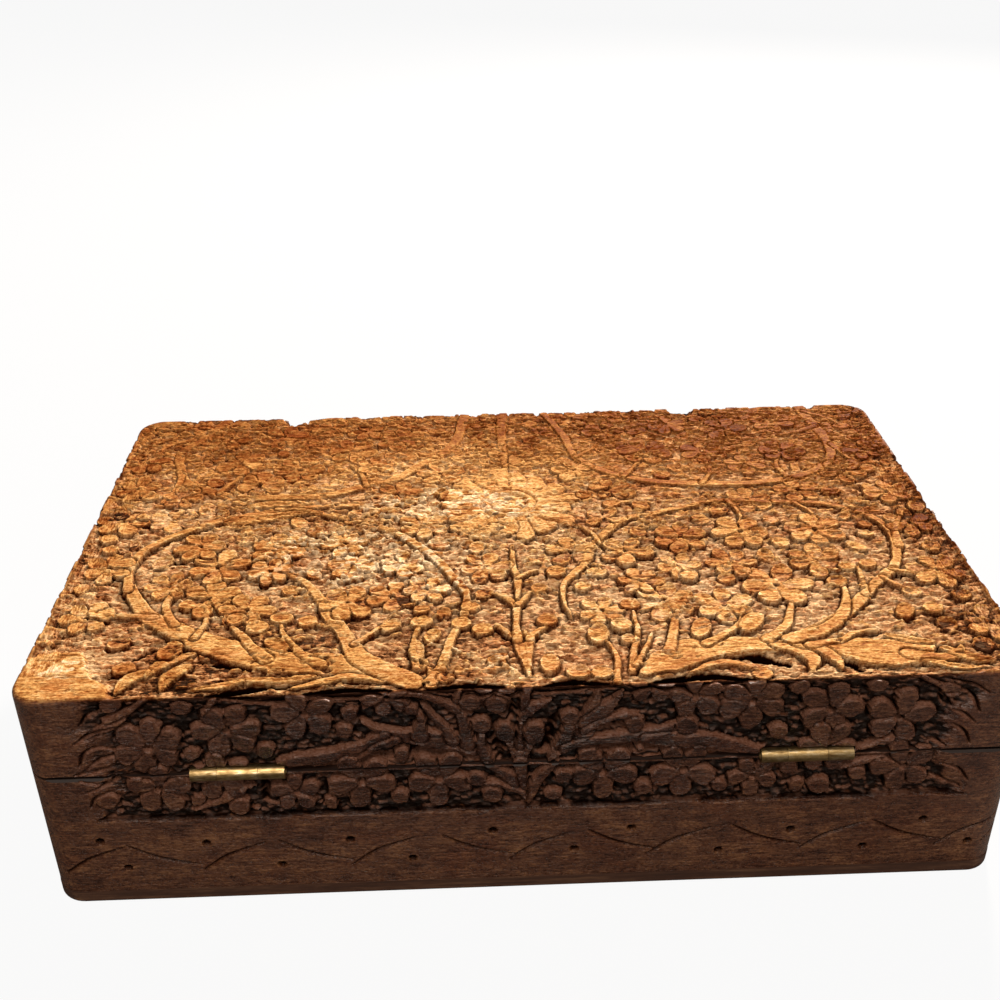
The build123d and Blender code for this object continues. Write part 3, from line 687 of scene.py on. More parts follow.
# as points and widths
LONG_SIDE_STEMS = (
    (((-9.6, 44), (-12.6, 47.8), (-17, 50), (-22.5, 51.4), (-29, 52.6), (-35.3, 54.4), (-41.4, 58)),
     (2.0, 4.6, 6.0, 5.8, 4.6, 3.2, 1.0)),
    (((-27.6, 53.5), (-27, 58), (-28.2, 60.6)), (5.0, 2.4, 1.6)),
    (((-35.8, 53.6), (-42.4, 50.2), (-51.7, 47.2), (-59, 46.3), (-63, 46)), (2.8, 3.4, 4.2, 4.2, 2.0)),
    (((-33.5, 52), (-40.3, 48.6), (-44.8, 44.4)), (2.8, 2.0, 1.0)),
    (((-15.6, 50), (-16.7, 57.8), (-18.3, 63.5), (-17, 68)), (4.4, 3.0, 2.4, 2.0)),
    (((-18.4, 61), (-23, 64.6), (-29, 66.8), (-35, 66.2), (-41, 62.4)), (2.8, 2.6, 2.4, 2.2, 1.0)),
    (((-19, 51), (-22.5, 57), (-26.5, 63)), (3.4, 2.4, 1.2)),
    (((-11, 45), (-12.2, 50), (-12.3, 54)), (3.4, 2.8, 2.4)),
    (((-2.5, 43.8), (-2.5, 46.4), (-2.5, 50)), (4.0, 5.4, 8.4)),
    (((-2.5, 49), (-2.2, 56), (-1.4, 62), (-0.6, 68)), (2.6, 1.8, 2.8, 3.4)),
    (((-2, 58), (1.5, 61.4), (5, 63.6)), (2.8, 2.8, 1.2)),
    (((4.9, 44.2), (7.6, 47.6), (11.4, 51.4), (14.6, 55.6), (16, 60.4), (16.8, 66.6)),
     (1.6, 4.2, 6.4, 6.2, 4.0, 1.2)),
    (((14.4, 55), (19.4, 60.6), (22.6, 66)), (5.0, 3.6, 1.2)),
    (((8, 48.6), (9.4, 53), (10, 56)), (4.4, 3.4, 2.6)),
    (((13.4, 53), (18.6, 56.2), (24.4, 57.8), (28.2, 56.6)), (2.2, 1.8, 2.0, 1.4)),
    (((8.6, 47.4), (14, 49.6), (22, 50.4), (30, 51.2), (36, 53.4)), (3.0, 2.6, 3.0, 4.4, 3.0)),
    (((29, 50), (37, 49.2), (46, 48.2), (54, 46), (60, 44.5)), (3.0, 5.8, 4.8, 3.4, 1.2)),
    (((-11, 43.2), (-6, 39.4), (-2, 34.8), (-0.6, 29)), (1.6, 3.6, 3.8, 1.0)),
    (((7, 43.2), (3.6, 39.4), (1, 34.8), (-0.4, 29)), (1.6, 3.4, 3.4, 1.0)),
    (((-2.3, 43.2), (-1.2, 34)), (4.6, 1.6)),
    (((-2, 33.4), (-6, 35.4), (-10, 36.8), (-12, 36.4)), (2.4, 1.8, 1.6, 1.0)),
    (((-86, 31.4), (-78, 34.4), (-71, 38.4)), (1.4, 2.6, 1.4)),
    (((65, 43), (61, 39.4), (58.6, 38)), (2.4, 1.4)),
    (((-110, 55.6), (-104, 58.8), (-99, 61.4)), (1.0, 2.6, 1.2)),
    (((-112.6, 43.9), (-106.6, 47.6), (-102.6, 49.2)), (1.0, 2.6, 1.4)),
    (((-80, 62), (-78, 65), (-76.6, 68)), (1.4, 2.2, 2.2)),
    (((97, 67.6), (102, 64), (106, 58)), (2.0, 2.0, 1.0)),
    (((-104, 61), (-98, 64), (-93, 68)), (1.4, 2.4, 1.6)),
    (((84, 44.4), (90, 46.4), (97, 47.4)), (1.4, 2.4, 1.2)),
    (((80, 38), (86, 40.4), (91, 41.4)), (1.4, 2.2, 1.0)),
)

# dark gaps where the wood is cut away about the branches, as points, widths and how deep
LONG_SIDE_HOLLOWS = (
    (((26, 68), (38, 65.6), (53, 68.5)), (3, 5.5, 3), 2.4),
    (((-76, 68.5), (-62, 66), (-50, 68)), (3, 5, 3), 2.2),
    (((-54, 68.5), (-45, 67), (-33, 68.5)), (3, 4, 3), 2.2),
    (((-22, 67.5), (-6, 66.5), (20, 67.5)), (3, 5, 3), 1.4),
    (((12, 44.4), (22, 46.6), (34, 46), (48, 44.6), (61, 43.6)), (1.4, 3.8, 3.2, 2.0, 1.0), 2.4),
    (((-13, 44.4), (-22, 46.8), (-34, 46.6), (-46, 44.6), (-54, 43.8)), (1.4, 3.8, 4.2, 2.6, 1.0), 2.4),
    (((-7.6, 45), (-8, 49), (-9.4, 52.4)), (3, 3.4, 2), 1.4),
    (((3.4, 46), (4.6, 50), (6, 57)), (2.6, 3.4, 3), 1.4),
    (((-5, 57.4), (-4.4, 60.4), (-6, 64)), (2.4, 3, 2.4), 1.4),
    (((16.6, 54), (22, 53.4), (30, 54)), (2.6, 3.4, 3), 1.4),
    (((-64, 40), (-58, 41.8), (-50, 42)), (1.0, 2.0, 1.0), 1.4), (((-68, 33), (-67, 39)), (3, 3), 1.6),
)

# gouge cuts that feather the vine into the plain ends, as the points of each
LONG_SIDE_STROKES = (
    ((107.9, 61.8), (110.8, 59.6), (112.6, 55.6)), ((106.7, 51.8), (110, 49.2), (111.9, 45.4)),
    ((106.7, 38.5), (110.6, 37), (113.6, 33)), ((102.4, 29.6), (108, 28.8), (114, 28.3)),
    ((103, 58.2), (102.4, 61), (106.4, 61.8)), ((100, 47), (104, 45.4), (106, 44.6)),
    ((104, 66.6), (109, 64.6), (114, 61.4)), ((106, 56.4), (109, 55), (112, 52.4)),
    ((104, 34), (108, 32.6), (112, 30.6)),
    ((-112.2, 47.2), (-110.6, 51.2), (-106.8, 52.6), (-103, 51.6)),
    ((-110, 59.8), (-108, 62.4), (-103.5, 65.4)),
    ((-111.8, 33.4), (-110.2, 36.6), (-106, 37.8), (-103.6, 35.4)), ((-110.6, 28.7), (-106.2, 29.8)),
    ((-112.4, 54.4), (-106.8, 57.4), (-102, 59.2)), ((-113, 42.4), (-108, 41.2), (-104, 42)),
    ((-111.8, 38.6), (-106, 41), (-102.6, 42.8)), ((-114, 44.4), (-108, 45.6), (-104, 47.4)),
)

# the smooth band: where its arcs start, each arc's shape from there, and the drilled holes; the
# row is even but for the wander of the hand
DOTS = ((-111.5, 21.8), (-105.7, 12.1), (-84.3, 20.0), (-65.5, 11.5), (-47, 19.6), (-31, 12.1),
        (-9.7, 21), (11.7, 13.5), (26.7, 20.3), (50.3, 11.1), (69, 17.8), (89.2, 10.8),
        (104.2, 19.8), (117.5, 11.3))
RISING = (-122.5, -86, -47, -5.5, 31, 71.5, 108.5)
FALLING = (-105, -65.5, -23, 15.5, 53.5, 91)
RISING_ARC = ((0, 10.5), (7, 15.6), (17, 19.6))
FALLING_ARC = ((0, 20), (8, 15.4), (19, 12.3))

# the short sides, for each half: flowers as s, z, size and turn, and buds as s and z
END_FLOWERS = ((17, 37.6, 0.98, 0.4), (36, 37.8, 1.0, 0.1), (54, 37, 0.95, 0.6),
               (54, 54, 1.02, 0.3), (37, 61, 1.0, 0.8), (20, 64, 0.9, 0.1))
END_BUDS = ((9, 33.5), (11, 58), (27, 56), (46, 48), (63, 45))
END_PITCH = 39.8  # the spacing of the arcs in pairs, one rising and one falling
END_ARCS = (((0, 11), (7, 16), (16, 19.5)), ((17, 20), (26, 15), (36, 12.3)))
END_DOTS = ((8, 21), (27, 11.5))
VINE_LEVEL = -0.35  # how far below the planed board the vine's surface lies
SIDE_DISH = 0.12  # how far its petals are dished
BUD_LEAN = (0.1, 0.15)
BUD_DISH = 0.1


def side_places(middle, flip):
    """Puts the points of one side's design where that side is on the sheet."""
    def at(points):
        return [(middle + flip * s, z) for s, z in points]
    return at


def carve_long_side(face, middle, flip):
    """One long side: the vine that springs from the middle of the rim, and the arcs below."""
    at = side_places(middle, flip)
    for points, widths, deep in LONG_SIDE_HOLLOWS:
        face.hollow(at(points), widths, deep)
    for points, widths in LONG_SIDE_STEMS:
        face.stem(at(points), widths, VINE_LEVEL)
    for s, z, size, petals, turn in LONG_SIDE_FLOWERS:
        face.flower(middle + flip * s, z, size, petals, turn * flip, VINE_LEVEL, SIDE_DISH, 1.0)
    for s, z, long, short, turn in LONG_SIDE_BUDS:
        face.disc(middle + flip * s, z, long, short, turn * flip, -0.4, BUD_LEAN, BUD_DISH)
    for points in LONG_SIDE_STROKES:
        face.knife(at(points), STROKE_WIDTH, STROKE_DEPTH)
    for starts, arc in ((RISING, RISING_ARC), (FALLING, FALLING_ARC)):
        for start in starts:
            face.knife(at([(start + s, z) for s, z in arc]), ARC_WIDTH, ARC_DEPTH)
    for s, z in DOTS:
        face.drill(middle + flip * s, z, HOLE_RADIUS, HOLE_DEPTH)


def carve_end(face, middle, flip):
    """One short side: two sprays from the middle and a row of flowers along the base."""
    at = side_places(middle, flip)
    for way in (-1, 1):
        for points, widths in LONG_SIDE_STEMS[:5]:
            face.stem(at([(abs(s) * way, z) for s, z in points]), widths, VINE_LEVEL)
        for s, z, size, turn in END_FLOWERS:
            face.flower(middle + flip * way * s, z, size, 5, turn * way + 0.3, dish=SIDE_DISH,
                        eye=1.0)
        for s, z in END_BUDS:
            face.disc(middle + flip * way * s, z, 2.9, 2.6, 0, -0.45, BUD_LEAN, BUD_DISH)
        for z in (33, 40, 50, 57):
            stroke = [(way * 61, z), (way * 65, z - 0.6), (way * 68, z - 4)]
            face.knife(at(stroke), STROKE_WIDTH, STROKE_DEPTH)
    face.stem(at([(0, 43.7), (0, 54), (0.3, 64)]), (3.6, 4.6, 1.4), VINE_LEVEL)
    face.stem(at([(0, 30.5), (0, 38)]), (3.4, 1.6), VINE_LEVEL)
    for k in range(-2, 2):
        start = END_PITCH * k
        for arc in END_ARCS:
            face.knife(at([(start + s, z) for s, z in arc]), ARC_WIDTH, ARC_DEPTH)
        for s, z in END_DOTS:
            face.drill(middle + flip * (start + s), z, HOLE_RADIUS, HOLE_DEPTH)


def carve_sides():
    """The four sides in one strip: the vine above, cut through by the parting of lid and base, and
    a smooth band below."""
    face = CarvedFace(SEAM, SEAM + GIRTH, 0.0, TOP, 51)
    s, z = face.true_u, face.true_v
    face.lift *= 0.5
    lump = facets(face.shape, 2.2, 1.1, 67)
    ground = (-SIDE_GROUND + 0.5 * lump + 0.28 * ripple(face.shape, 0.7, 61)
              + 0.12 * ripple(face.shape, (0.3, 1.4), 62))
    wander = ripple(face.shape, 2.2, 63)
    # distance from the middle of the face each spot is on, less that face's plain end
    from_long = np.minimum(np.abs(s), np.abs(s - FRONT_MIDDLE)) - LONG_PLAIN
    from_end = np.minimum(np.abs(s - END_MIDDLE), np.abs(s - END_MIDDLE - FRONT_MIDDLE)) - END_PLAIN
    carved = ease((9 + 4 * wander - np.minimum(from_long, from_end)) / 14)
    carved = carved * ease((z - FRIEZE_FOOT - 0.35 * wander) / 0.4)
    face.height = ground * carved
    face.taken = carved < 0.5
    for middle, flip in ((0.0, 1), (FRONT_MIDDLE, -1)):
        carve_long_side(face, middle, flip)
    for middle, flip in ((END_MIDDLE, 1), (END_MIDDLE + FRONT_MIDDLE, -1)):
        carve_end(face, middle, flip)
    face.scatter((SEAM, FRIEZE_FOOT + 2, SEAM + GIRTH, TOP), 1500, 71, SIDE_DISH)
    # the base keeps a narrow strip of its rim, nicked here and there
    strip = ease((0.75 + 0.3 * wander - np.abs(z - BASE_RIM + 0.2)) / 0.3) * carved
    face.height = np.maximum(face.height, -0.75 * strip - 5 * (1 - strip))
    scratch = ripple(face.shape, (0.25, 2.2), 64)
    face.height += 0.06 * scratch - 0.05 * np.maximum(0, ripple(face.shape, 4.0, 65))
    # the foot is bruised and chipped
    chips = ease((ripple(face.shape, (1.2, 3.5), 66) - 0.75) / 0.3) * ease((2.6 - z) / 1.6)
    face.height = np.minimum(face.height - 0.8 * chips, -LEAST_CUT)
    return face


# ---------------------------------------------------------------- how the wood has aged
# patches as u, v, half-length, half-width and how much paler the wood is there

TOP_TONES = (
    (-14, 90, 24, 15, 0.2), (-44, 62, 28, 13, 0.2), (-24, 52, 9, 9, 0.22), (-35, 90, 16, 6, 0.12),
    (-35, 118, 22, 9, 0.08), (0, 152, 150, 40, -0.14), (50, 145, 90, 20, -0.06),
    (-95, 130, 45, 34, -0.09), (85, 110, 60, 40, -0.12), (120, 60, 16, 60, -0.06),
    (40, 35, 60, 25, 0.04), (-115, 12, 12, 9, 0.16), (-20, 76, 16, 5, -0.12), (127, 80, 8, 120, -0.14),
    (-127, 90, 6, 90, -0.1), (106, 26, 9, 8, -0.14), (116, 8, 9, 7, -0.12), (-90, 8, 9, 7, -0.16),
    (-104, 4, 14, 3, -0.1), (-70, 8, 20, 6, -0.08), (-8, 14, 12, 8, 0.08), (-60, 84, 20, 5, -0.1),
)
TOP_DIRT = (
    (-62, 16, 48, 15, 0.21), (-10, 22, 16, 16, 0.1), (118, 20, 16, 20, 0.1), (-120, 50, 12, 30, 0.08),
    (55, 125, 70, 26, -0.1), (70, 50, 45, 26, -0.05), (-60, 125, 50, 26, -0.04),
)
TOP_DUST = ((60, 45, 60, 45, 0.6), (60, 120, 60, 30, 0.1), (-30, 35, 50, 20, 0.2))
SIDE_TONES = ((0, 52, 75, 16, -0.13), (-118, 50, 14, 20, 0.04), (0, 14, 400, 9, 0.045))


def age_top(face):
    """Hands and sun have bleached the lid's top, most beside the rosette; it is also darker towards the
    far edge and both ends.
    """
    face.read_surface(GROUND)
    maps = face.maps
    maps["tone"] = face.patches(0.675, TOP_TONES, 81)
    # dirt has stayed in the ground about the left branch
    maps["tone"] -= maps["ground"] * face.patches(0.0, TOP_DIRT, 87)
    # where it is palest the wood has come away in flakes, light and dark
    maps["tone"] += 0.25 * face.chip * ease((maps["tone"] - 0.68) / 0.12)
    maps["dust"] = maps["ground"] * np.clip(face.patches(0.12, TOP_DUST, 83), 0, 1)
    # the painted crease shade is weaker towards the far edge
    maps["crease_shading_and_dirt"] *= 1 - 0.5 * ease((face.true_v - 80) / 50)
    maps["faded"] = np.ones(face.shape)
    # its figure is quieter towards the front
    maps["mottle"] = 1.1 - 0.5 * ease((face.true_v - 75) / 50)


def age_sides(face):
    """The sides are still waxed, and dark; ledges that face up get a painted highlight, but not the edge
    of the smooth band."""
    face.read_surface(SIDE_GROUND)
    maps = face.maps
    maps["tone"] = face.patches(0.33, SIDE_TONES, 85)
    # the cut ground is darker, for dirt and for painted shade
    maps["tone"] -= 0.12 * maps["ground"]
    maps["flake"] *= 0.4
    maps["dust"] = maps["ground"] * 0.02
    maps["ledge_highlight"] *= ease((face.true_v - FRIEZE_FOOT - 0.4) / 0.5)
    maps["faded"] = np.zeros(face.shape)
    maps["mottle"] = np.ones(face.shape)


top_face = carve_top()
side_face = carve_sides()
age_top(top_face)
age_sides(side_face)

# ---------------------------------------------------------------- boards cut to the carving


def inset_in_plan(x, y):
    """How far in from the box's rounded outline a spot is, seen from above."""
    a, b = np.abs(x) - STRAIGHT_LONG, np.abs(y) - STRAIGHT_SHORT
    out = np.hypot(np.maximum(a, 0), np.maximum(b, 0))
    return CORNER - out - np.minimum(np.maximum(a, b), 0)


def round_corners(spots):
    """Draws the squared upright corners in to their rounding."""
    x, y, z = spots.T
    a = np.clip((np.abs(x) - STRAIGHT_LONG) / CORNER, 0, 1)
    b = np.clip((np.abs(y) - STRAIGHT_SHORT) / CORNER, 0, 1)
    corner = (a > 0) & (b > 0)
    near_x = STRAIGHT_LONG + CORNER * a * np.sqrt(1 - b ** 2 / 2)
    near_y = STRAIGHT_SHORT + CORNER * b * np.sqrt(1 - a ** 2 / 2)
    return np.stack([np.where(corner, np.sign(x) * near_x, x),
                     np.where(corner, np.sign(y) * near_y, y), z], 1)


def girth_place(x, y):
    """How far round the sides a spot is, from the middle of the back."""
    theta = np.arctan2(np.maximum(np.abs(x) - STRAIGHT_LONG, 0),
                       np.maximum(np.abs(y) - STRAIGHT_SHORT, 1e-9))
    on_long = np.abs(y) - STRAIGHT_SHORT > 0
    quarter = np.where(on_long, np.clip(np.abs(x), 0, STRAIGHT_LONG) + CORNER * theta,
                       STRAIGHT_LONG + QUARTER + STRAIGHT_SHORT - np.clip(np.abs(y), 0, STRAIGHT_SHORT))
    quarter = np.where(y < 0, FRONT_MIDDLE - quarter, quarter)
    s = np.where(x > 0, -quarter, quarter)
    return (s - SEAM) % GIRTH + SEAM


def on_top(spots):
    """1 on the lid's top, 0 on the sides, changing over across the arris."""
    inset = inset_in_plan(spots[:, 0], spots[:, 1])
    return ease((inset - (TOP - spots[:, 2])) / (2 * ARRIS) + 0.5)


def read(spots, top_sheet, side_sheet):
    """What the two sheets say at spots on the squared and corner-rounded outside."""
    x, y, z = spots.T
    share = on_top(spots)
    return (share * top_face.at(top_sheet, -x, HALF_DEPTH - y)
            + (1 - share) * side_face.at(side_sheet, girth_place(x, y), z))


def inward(spots):
    """The way the gouge goes in: square to a face, but leaning to the core near an edge."""
    core = np.stack([np.clip(spots[:, 0], REACH - HALF_LENGTH, HALF_LENGTH - REACH),
                     np.clip(spots[:, 1], REACH - HALF_DEPTH, HALF_DEPTH - REACH),
                     np.minimum(spots[:, 2], TOP - REACH)], 1)
    way = core - spots
    return way / np.maximum(np.linalg.norm(way, axis=1), 1e-6)[:, None]


def carve(spots):
    """Moves spots from the squared outside of the box to the carved skin."""
    spots = round_corners(spots)
    way = inward(spots)
    depth = -read(spots, top_face.height, side_face.height)
    for _ in range(6):
        now = spots + way * depth[:, None]
        inset, below = inset_in_plan(now[:, 0], now[:, 1]), TOP - now[:, 2]
        a, b = np.maximum(ARRIS - inset, 0), np.maximum(ARRIS - below, 0)
        proud = np.where((a > 0) & (b > 0), np.hypot(a, b) - ARRIS + ARRIS_CUT,
                         LEAST_CUT - np.minimum(inset, below))
        depth = depth + np.maximum(proud, 0)
    return spots + way * depth[:, None]


def back_to_outside(spots):
    """From spots on the skin, back out along the gouge's way to the uncut outside."""
    way = inward(spots)
    spots = spots.copy()
    for _ in range(12):
        gap = np.minimum(inset_in_plan(spots[:, 0], spots[:, 1]), TOP - spots[:, 2])
        spots -= way * np.maximum(gap, 0)[:, None]
    return spots


def deselect():
    bpy.ops.object.select_all(action="DESELECT")


def choose(piece):
    deselect()
    piece.select_set(True)
    bpy.context.view_layer.objects.active = piece


def skin_sheet(corner, across, up, step=BOARD_STEP):
    """A fine grid laid on one flat of the board: from a corner, across it and up it."""
    corner, across, up = (np.array(v, float) for v in (corner, across, up))
    cols = max(1, int(round(np.linalg.norm(across) / step)))
    rows = max(1, int(round(np.linalg.norm(up) / step)))
    deselect()
    bpy.ops.mesh.primitive_grid_add(x_subdivisions=cols, y_subdivisions=rows, size=1,
                                    location=(0, 0, 0))
    sheet = bpy.context.object
    count = len(sheet.data.vertices)
    flat = np.empty(count * 3)
    sheet.data.vertices.foreach_get("co", flat)
    i, j = flat.reshape(-1, 3)[:, 0] + 0.5, flat.reshape(-1, 3)[:, 1] + 0.5
    spots = corner + i[:, None] * across + j[:, None] * up
    sheet.data.vertices.foreach_set("co", (carve(spots) * MM).ravel())
    return sheet


def carved_block(sheets, middle, push=None):
    """Welds the sheets along their edges and closes them behind the board, at a far spot."""
    choose(sheets[0])
    for sheet in sheets[1:]:
        sheet.select_set(True)
    if len(sheets) > 1:
        bpy.ops.object.join()
    bpy.ops.object.mode_set(mode="EDIT")
    bpy.ops.mesh.select_all(action="SELECT")
    bpy.ops.mesh.remove_doubles(threshold=1e-6)
    bpy.ops.mesh.select_all(action="DESELECT")
    bpy.ops.mesh.select_mode(type="EDGE")
    bpy.ops.mesh.select_non_manifold(use_wire=False, use_multi_face=False,
                                     use_non_contiguous=False, use_verts=False)
    if push:
        bpy.ops.mesh.extrude_edges_move(TRANSFORM_OT_translate={"value": [p * MM for p in push]})
    bpy.ops.mesh.extrude_edges_move()
    bpy.context.scene.cursor.location = [m * MM for m in middle]
    bpy.ops.mesh.merge(type="CURSOR")
    bpy.ops.mesh.select_all(action="SELECT")
    bpy.ops.mesh.normals_make_consistent(inside=False)
    block = bpy.context.object
    if bmesh.from_edit_mesh(block.data).calc_volume(signed=True) < 0:
        bpy.ops.mesh.flip_normals()
    bpy.ops.object.mode_set(mode="OBJECT")
    return block


def cut_board(node, name, block, planed, carved):
    """A copy of the joiner's board, cut to the carved block."""
    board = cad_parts[node].copy()
    board.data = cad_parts[node].data.copy()
    board.name = board.data.name = name
    board.parent = None
    board.hide_viewport = board.hide_render = False
    for key in list(board.keys()):
        del board[key]
    bpy.context.scene.collection.objects.link(board)
    for piece, finishes in ((board, (planed, carved)), (block, (carved,))):
        piece.data.materials.clear()
        for finish in finishes:
            piece.data.materials.append(finish)
    choose(board)
    bpy.ops.mesh.customdata_custom_splitnormals_clear()
    bpy.ops.object.mode_set(mode="EDIT")
    bpy.ops.mesh.select_all(action="SELECT")
    bpy.ops.mesh.remove_doubles(threshold=1e-7)
    bpy.ops.object.mode_set(mode="OBJECT")
    cut = board.modifiers.new("carving", "BOOLEAN")
    cut.operation, cut.solver, cut.object = "INTERSECT", "MANIFOLD", block
    bpy.ops.object.modifier_apply(modifier=cut.name)
    bpy.data.objects.remove(block)
    bpy.ops.object.shade_smooth_by_angle(angle=CRISP)
    read_onto(board)
    return board


def read_onto(board):
    """Writes what the sheets say of wear, dirt, painted shade and highlight, and tone on the board's
    vertices.
    """
    flat = np.empty(len(board.data.vertices) * 3)
    board.data.vertices.foreach_get("co", flat)
    spots = back_to_outside(flat.reshape(-1, 3) / MM)
    for name in top_face.maps:
        value = read(spots, top_face.maps[name], side_face.maps[name]).astype(np.float32)
        board.data.attributes.new(name, "FLOAT", "POINT").data.foreach_set("value", value)


# ---------------------------------------------------------------- finishes


def linear(colour):
    """The hex colour's red, green and blue as the renderer's linear values."""
    parts = [int(colour[i:i + 2], 16) / 255 for i in (1, 3, 5)]
    return [p / 12.92 if p <= 0.04045 else ((p + 0.055) / 1.055) ** 2.4 for p in parts] + [1.0]


def add(tree, kind, sockets=None, stops=(), **settings):
    """Adds a node with its settings, its ramp's stops, and its sockets' values or links."""
    node = tree.nodes.new(kind)
    for name, value in settings.items():
        setattr(node, name, value)
    for extra in stops[2:]:
        node.color_ramp.elements.new(extra[0])
    for index, (place, colour) in enumerate(stops):
        node.color_ramp.elements[index].position = place
        node.color_ramp.elements[index].color = linear(colour)
    for name, value in (sockets or {}).items():
        if isinstance(value, bpy.types.NodeSocket):
            tree.links.new(value, node.inputs[name])
        else:
            node.inputs[name].default_value = value
    return node


def new_finish(name):
    """An empty node material and its tree."""
    finish = bpy.data.materials.new(name)
    finish.use_nodes = True
    finish.node_tree.nodes.clear()
    return finish, finish.node_tree


def figure(tree, along, sizes):
    """Noise drawn out along the grain, one for each name: (mm along, mm across, detail)."""
    place = add(tree, "ShaderNodeTexCoord").outputs["Object"]
    found = {}
    for name, (long, short, detail) in sizes.items():
        scale = [1 / (short * MM)] * 3
        scale["xyz".index(along)] = 1 / (long * MM)
        spot = add(tree, "ShaderNodeMapping", {"Vector": place, "Scale": scale}).outputs[0]
        found[name] = add(tree, "ShaderNodeTexNoise", {"Vector": spot, "Scale": 1.0, "Detail": detail,
                                                       "Roughness": 0.65}).outputs["Fac"]
    return found


def weigh(tree, value, parts, middle=0.5):
    """Adds to a value each (source, weight), the source taken about its middle."""
    for source, weight in parts:
        if middle:
            source = add(tree, "ShaderNodeMath", {0: source, 1: middle},
                         operation="SUBTRACT").outputs[0]
        value = add(tree, "ShaderNodeMath", {0: source, 1: weight, 2: value},
                    operation="MULTIPLY_ADD").outputs[0]
    return value


# brown to pale, as the stops of colour ramps
BLEACHED = ((0.1, "#2a1206"), (0.34, "#643314"), (0.46, "#8c5225"), (0.58, "#b98348"),
            (0.7, "#dbaa69"), (0.84, "#efca90"), (1.0, "#fae3ba"))
WAXED = ((0.0, "#0e0503"), (0.12, "#22130b"), (0.24, "#3f261b"), (0.36, "#5a3a28"),
         (0.5, "#7b5538"), (0.7, "#a37b51"))
CUT_GROUND = ((0.0, "#050100"), (0.2, "#0c0402"), (0.36, "#1c0b05"), (0.42, "#6b3a18"),
              (0.5, "#b07c4e"), (0.6, "#d3a372"), (0.75, "#e9c594"), (1.0, "#f9dcae"))
# the colours of the painted shade and dirt in the creases
CREASE_SHADING_AND_DIRT = ((0.25, "#060201"), (0.6, "#351002"))
FINE_GRAIN = ((0.3, "#b0875f"), (0.62, "#ffffff"))
INSIDE_BROWNS = ((0.2, "#371d12"), (0.5, "#5b3421"), (0.8, "#7c4e31"))
BOTTOM_BROWNS = ((0.2, "#2a1910"), (0.5, "#43291c"), (0.8, "#6a4b34"))
KNUCKLE_GOLDS = ((0.25, "#5a3c1e"), (0.4, "#9d7f50"), (0.54, "#d2b37c"), (0.72, "#fcf0d2"))
BROWNED_GOLDS = ((0.25, "#4c341e"), (0.42, "#957a4e"), (0.56, "#c8ad7c"), (0.75, "#faeed2"))
SCREW_GOLDS = ((0.3, "#6e5430"), (0.6, "#b8924f"), (0.8, "#d8bc80"))
NAIL_GREYS = ((0.3, "#3c3632"), (0.6, "#6d655d"), (0.8, "#8f8880"))


# the figure that carved and planed boards share, as mm along the grain, mm across it and detail
STREAK, PORES = (28, 2.6, 4.0), (4.0, 0.4, 3.0)


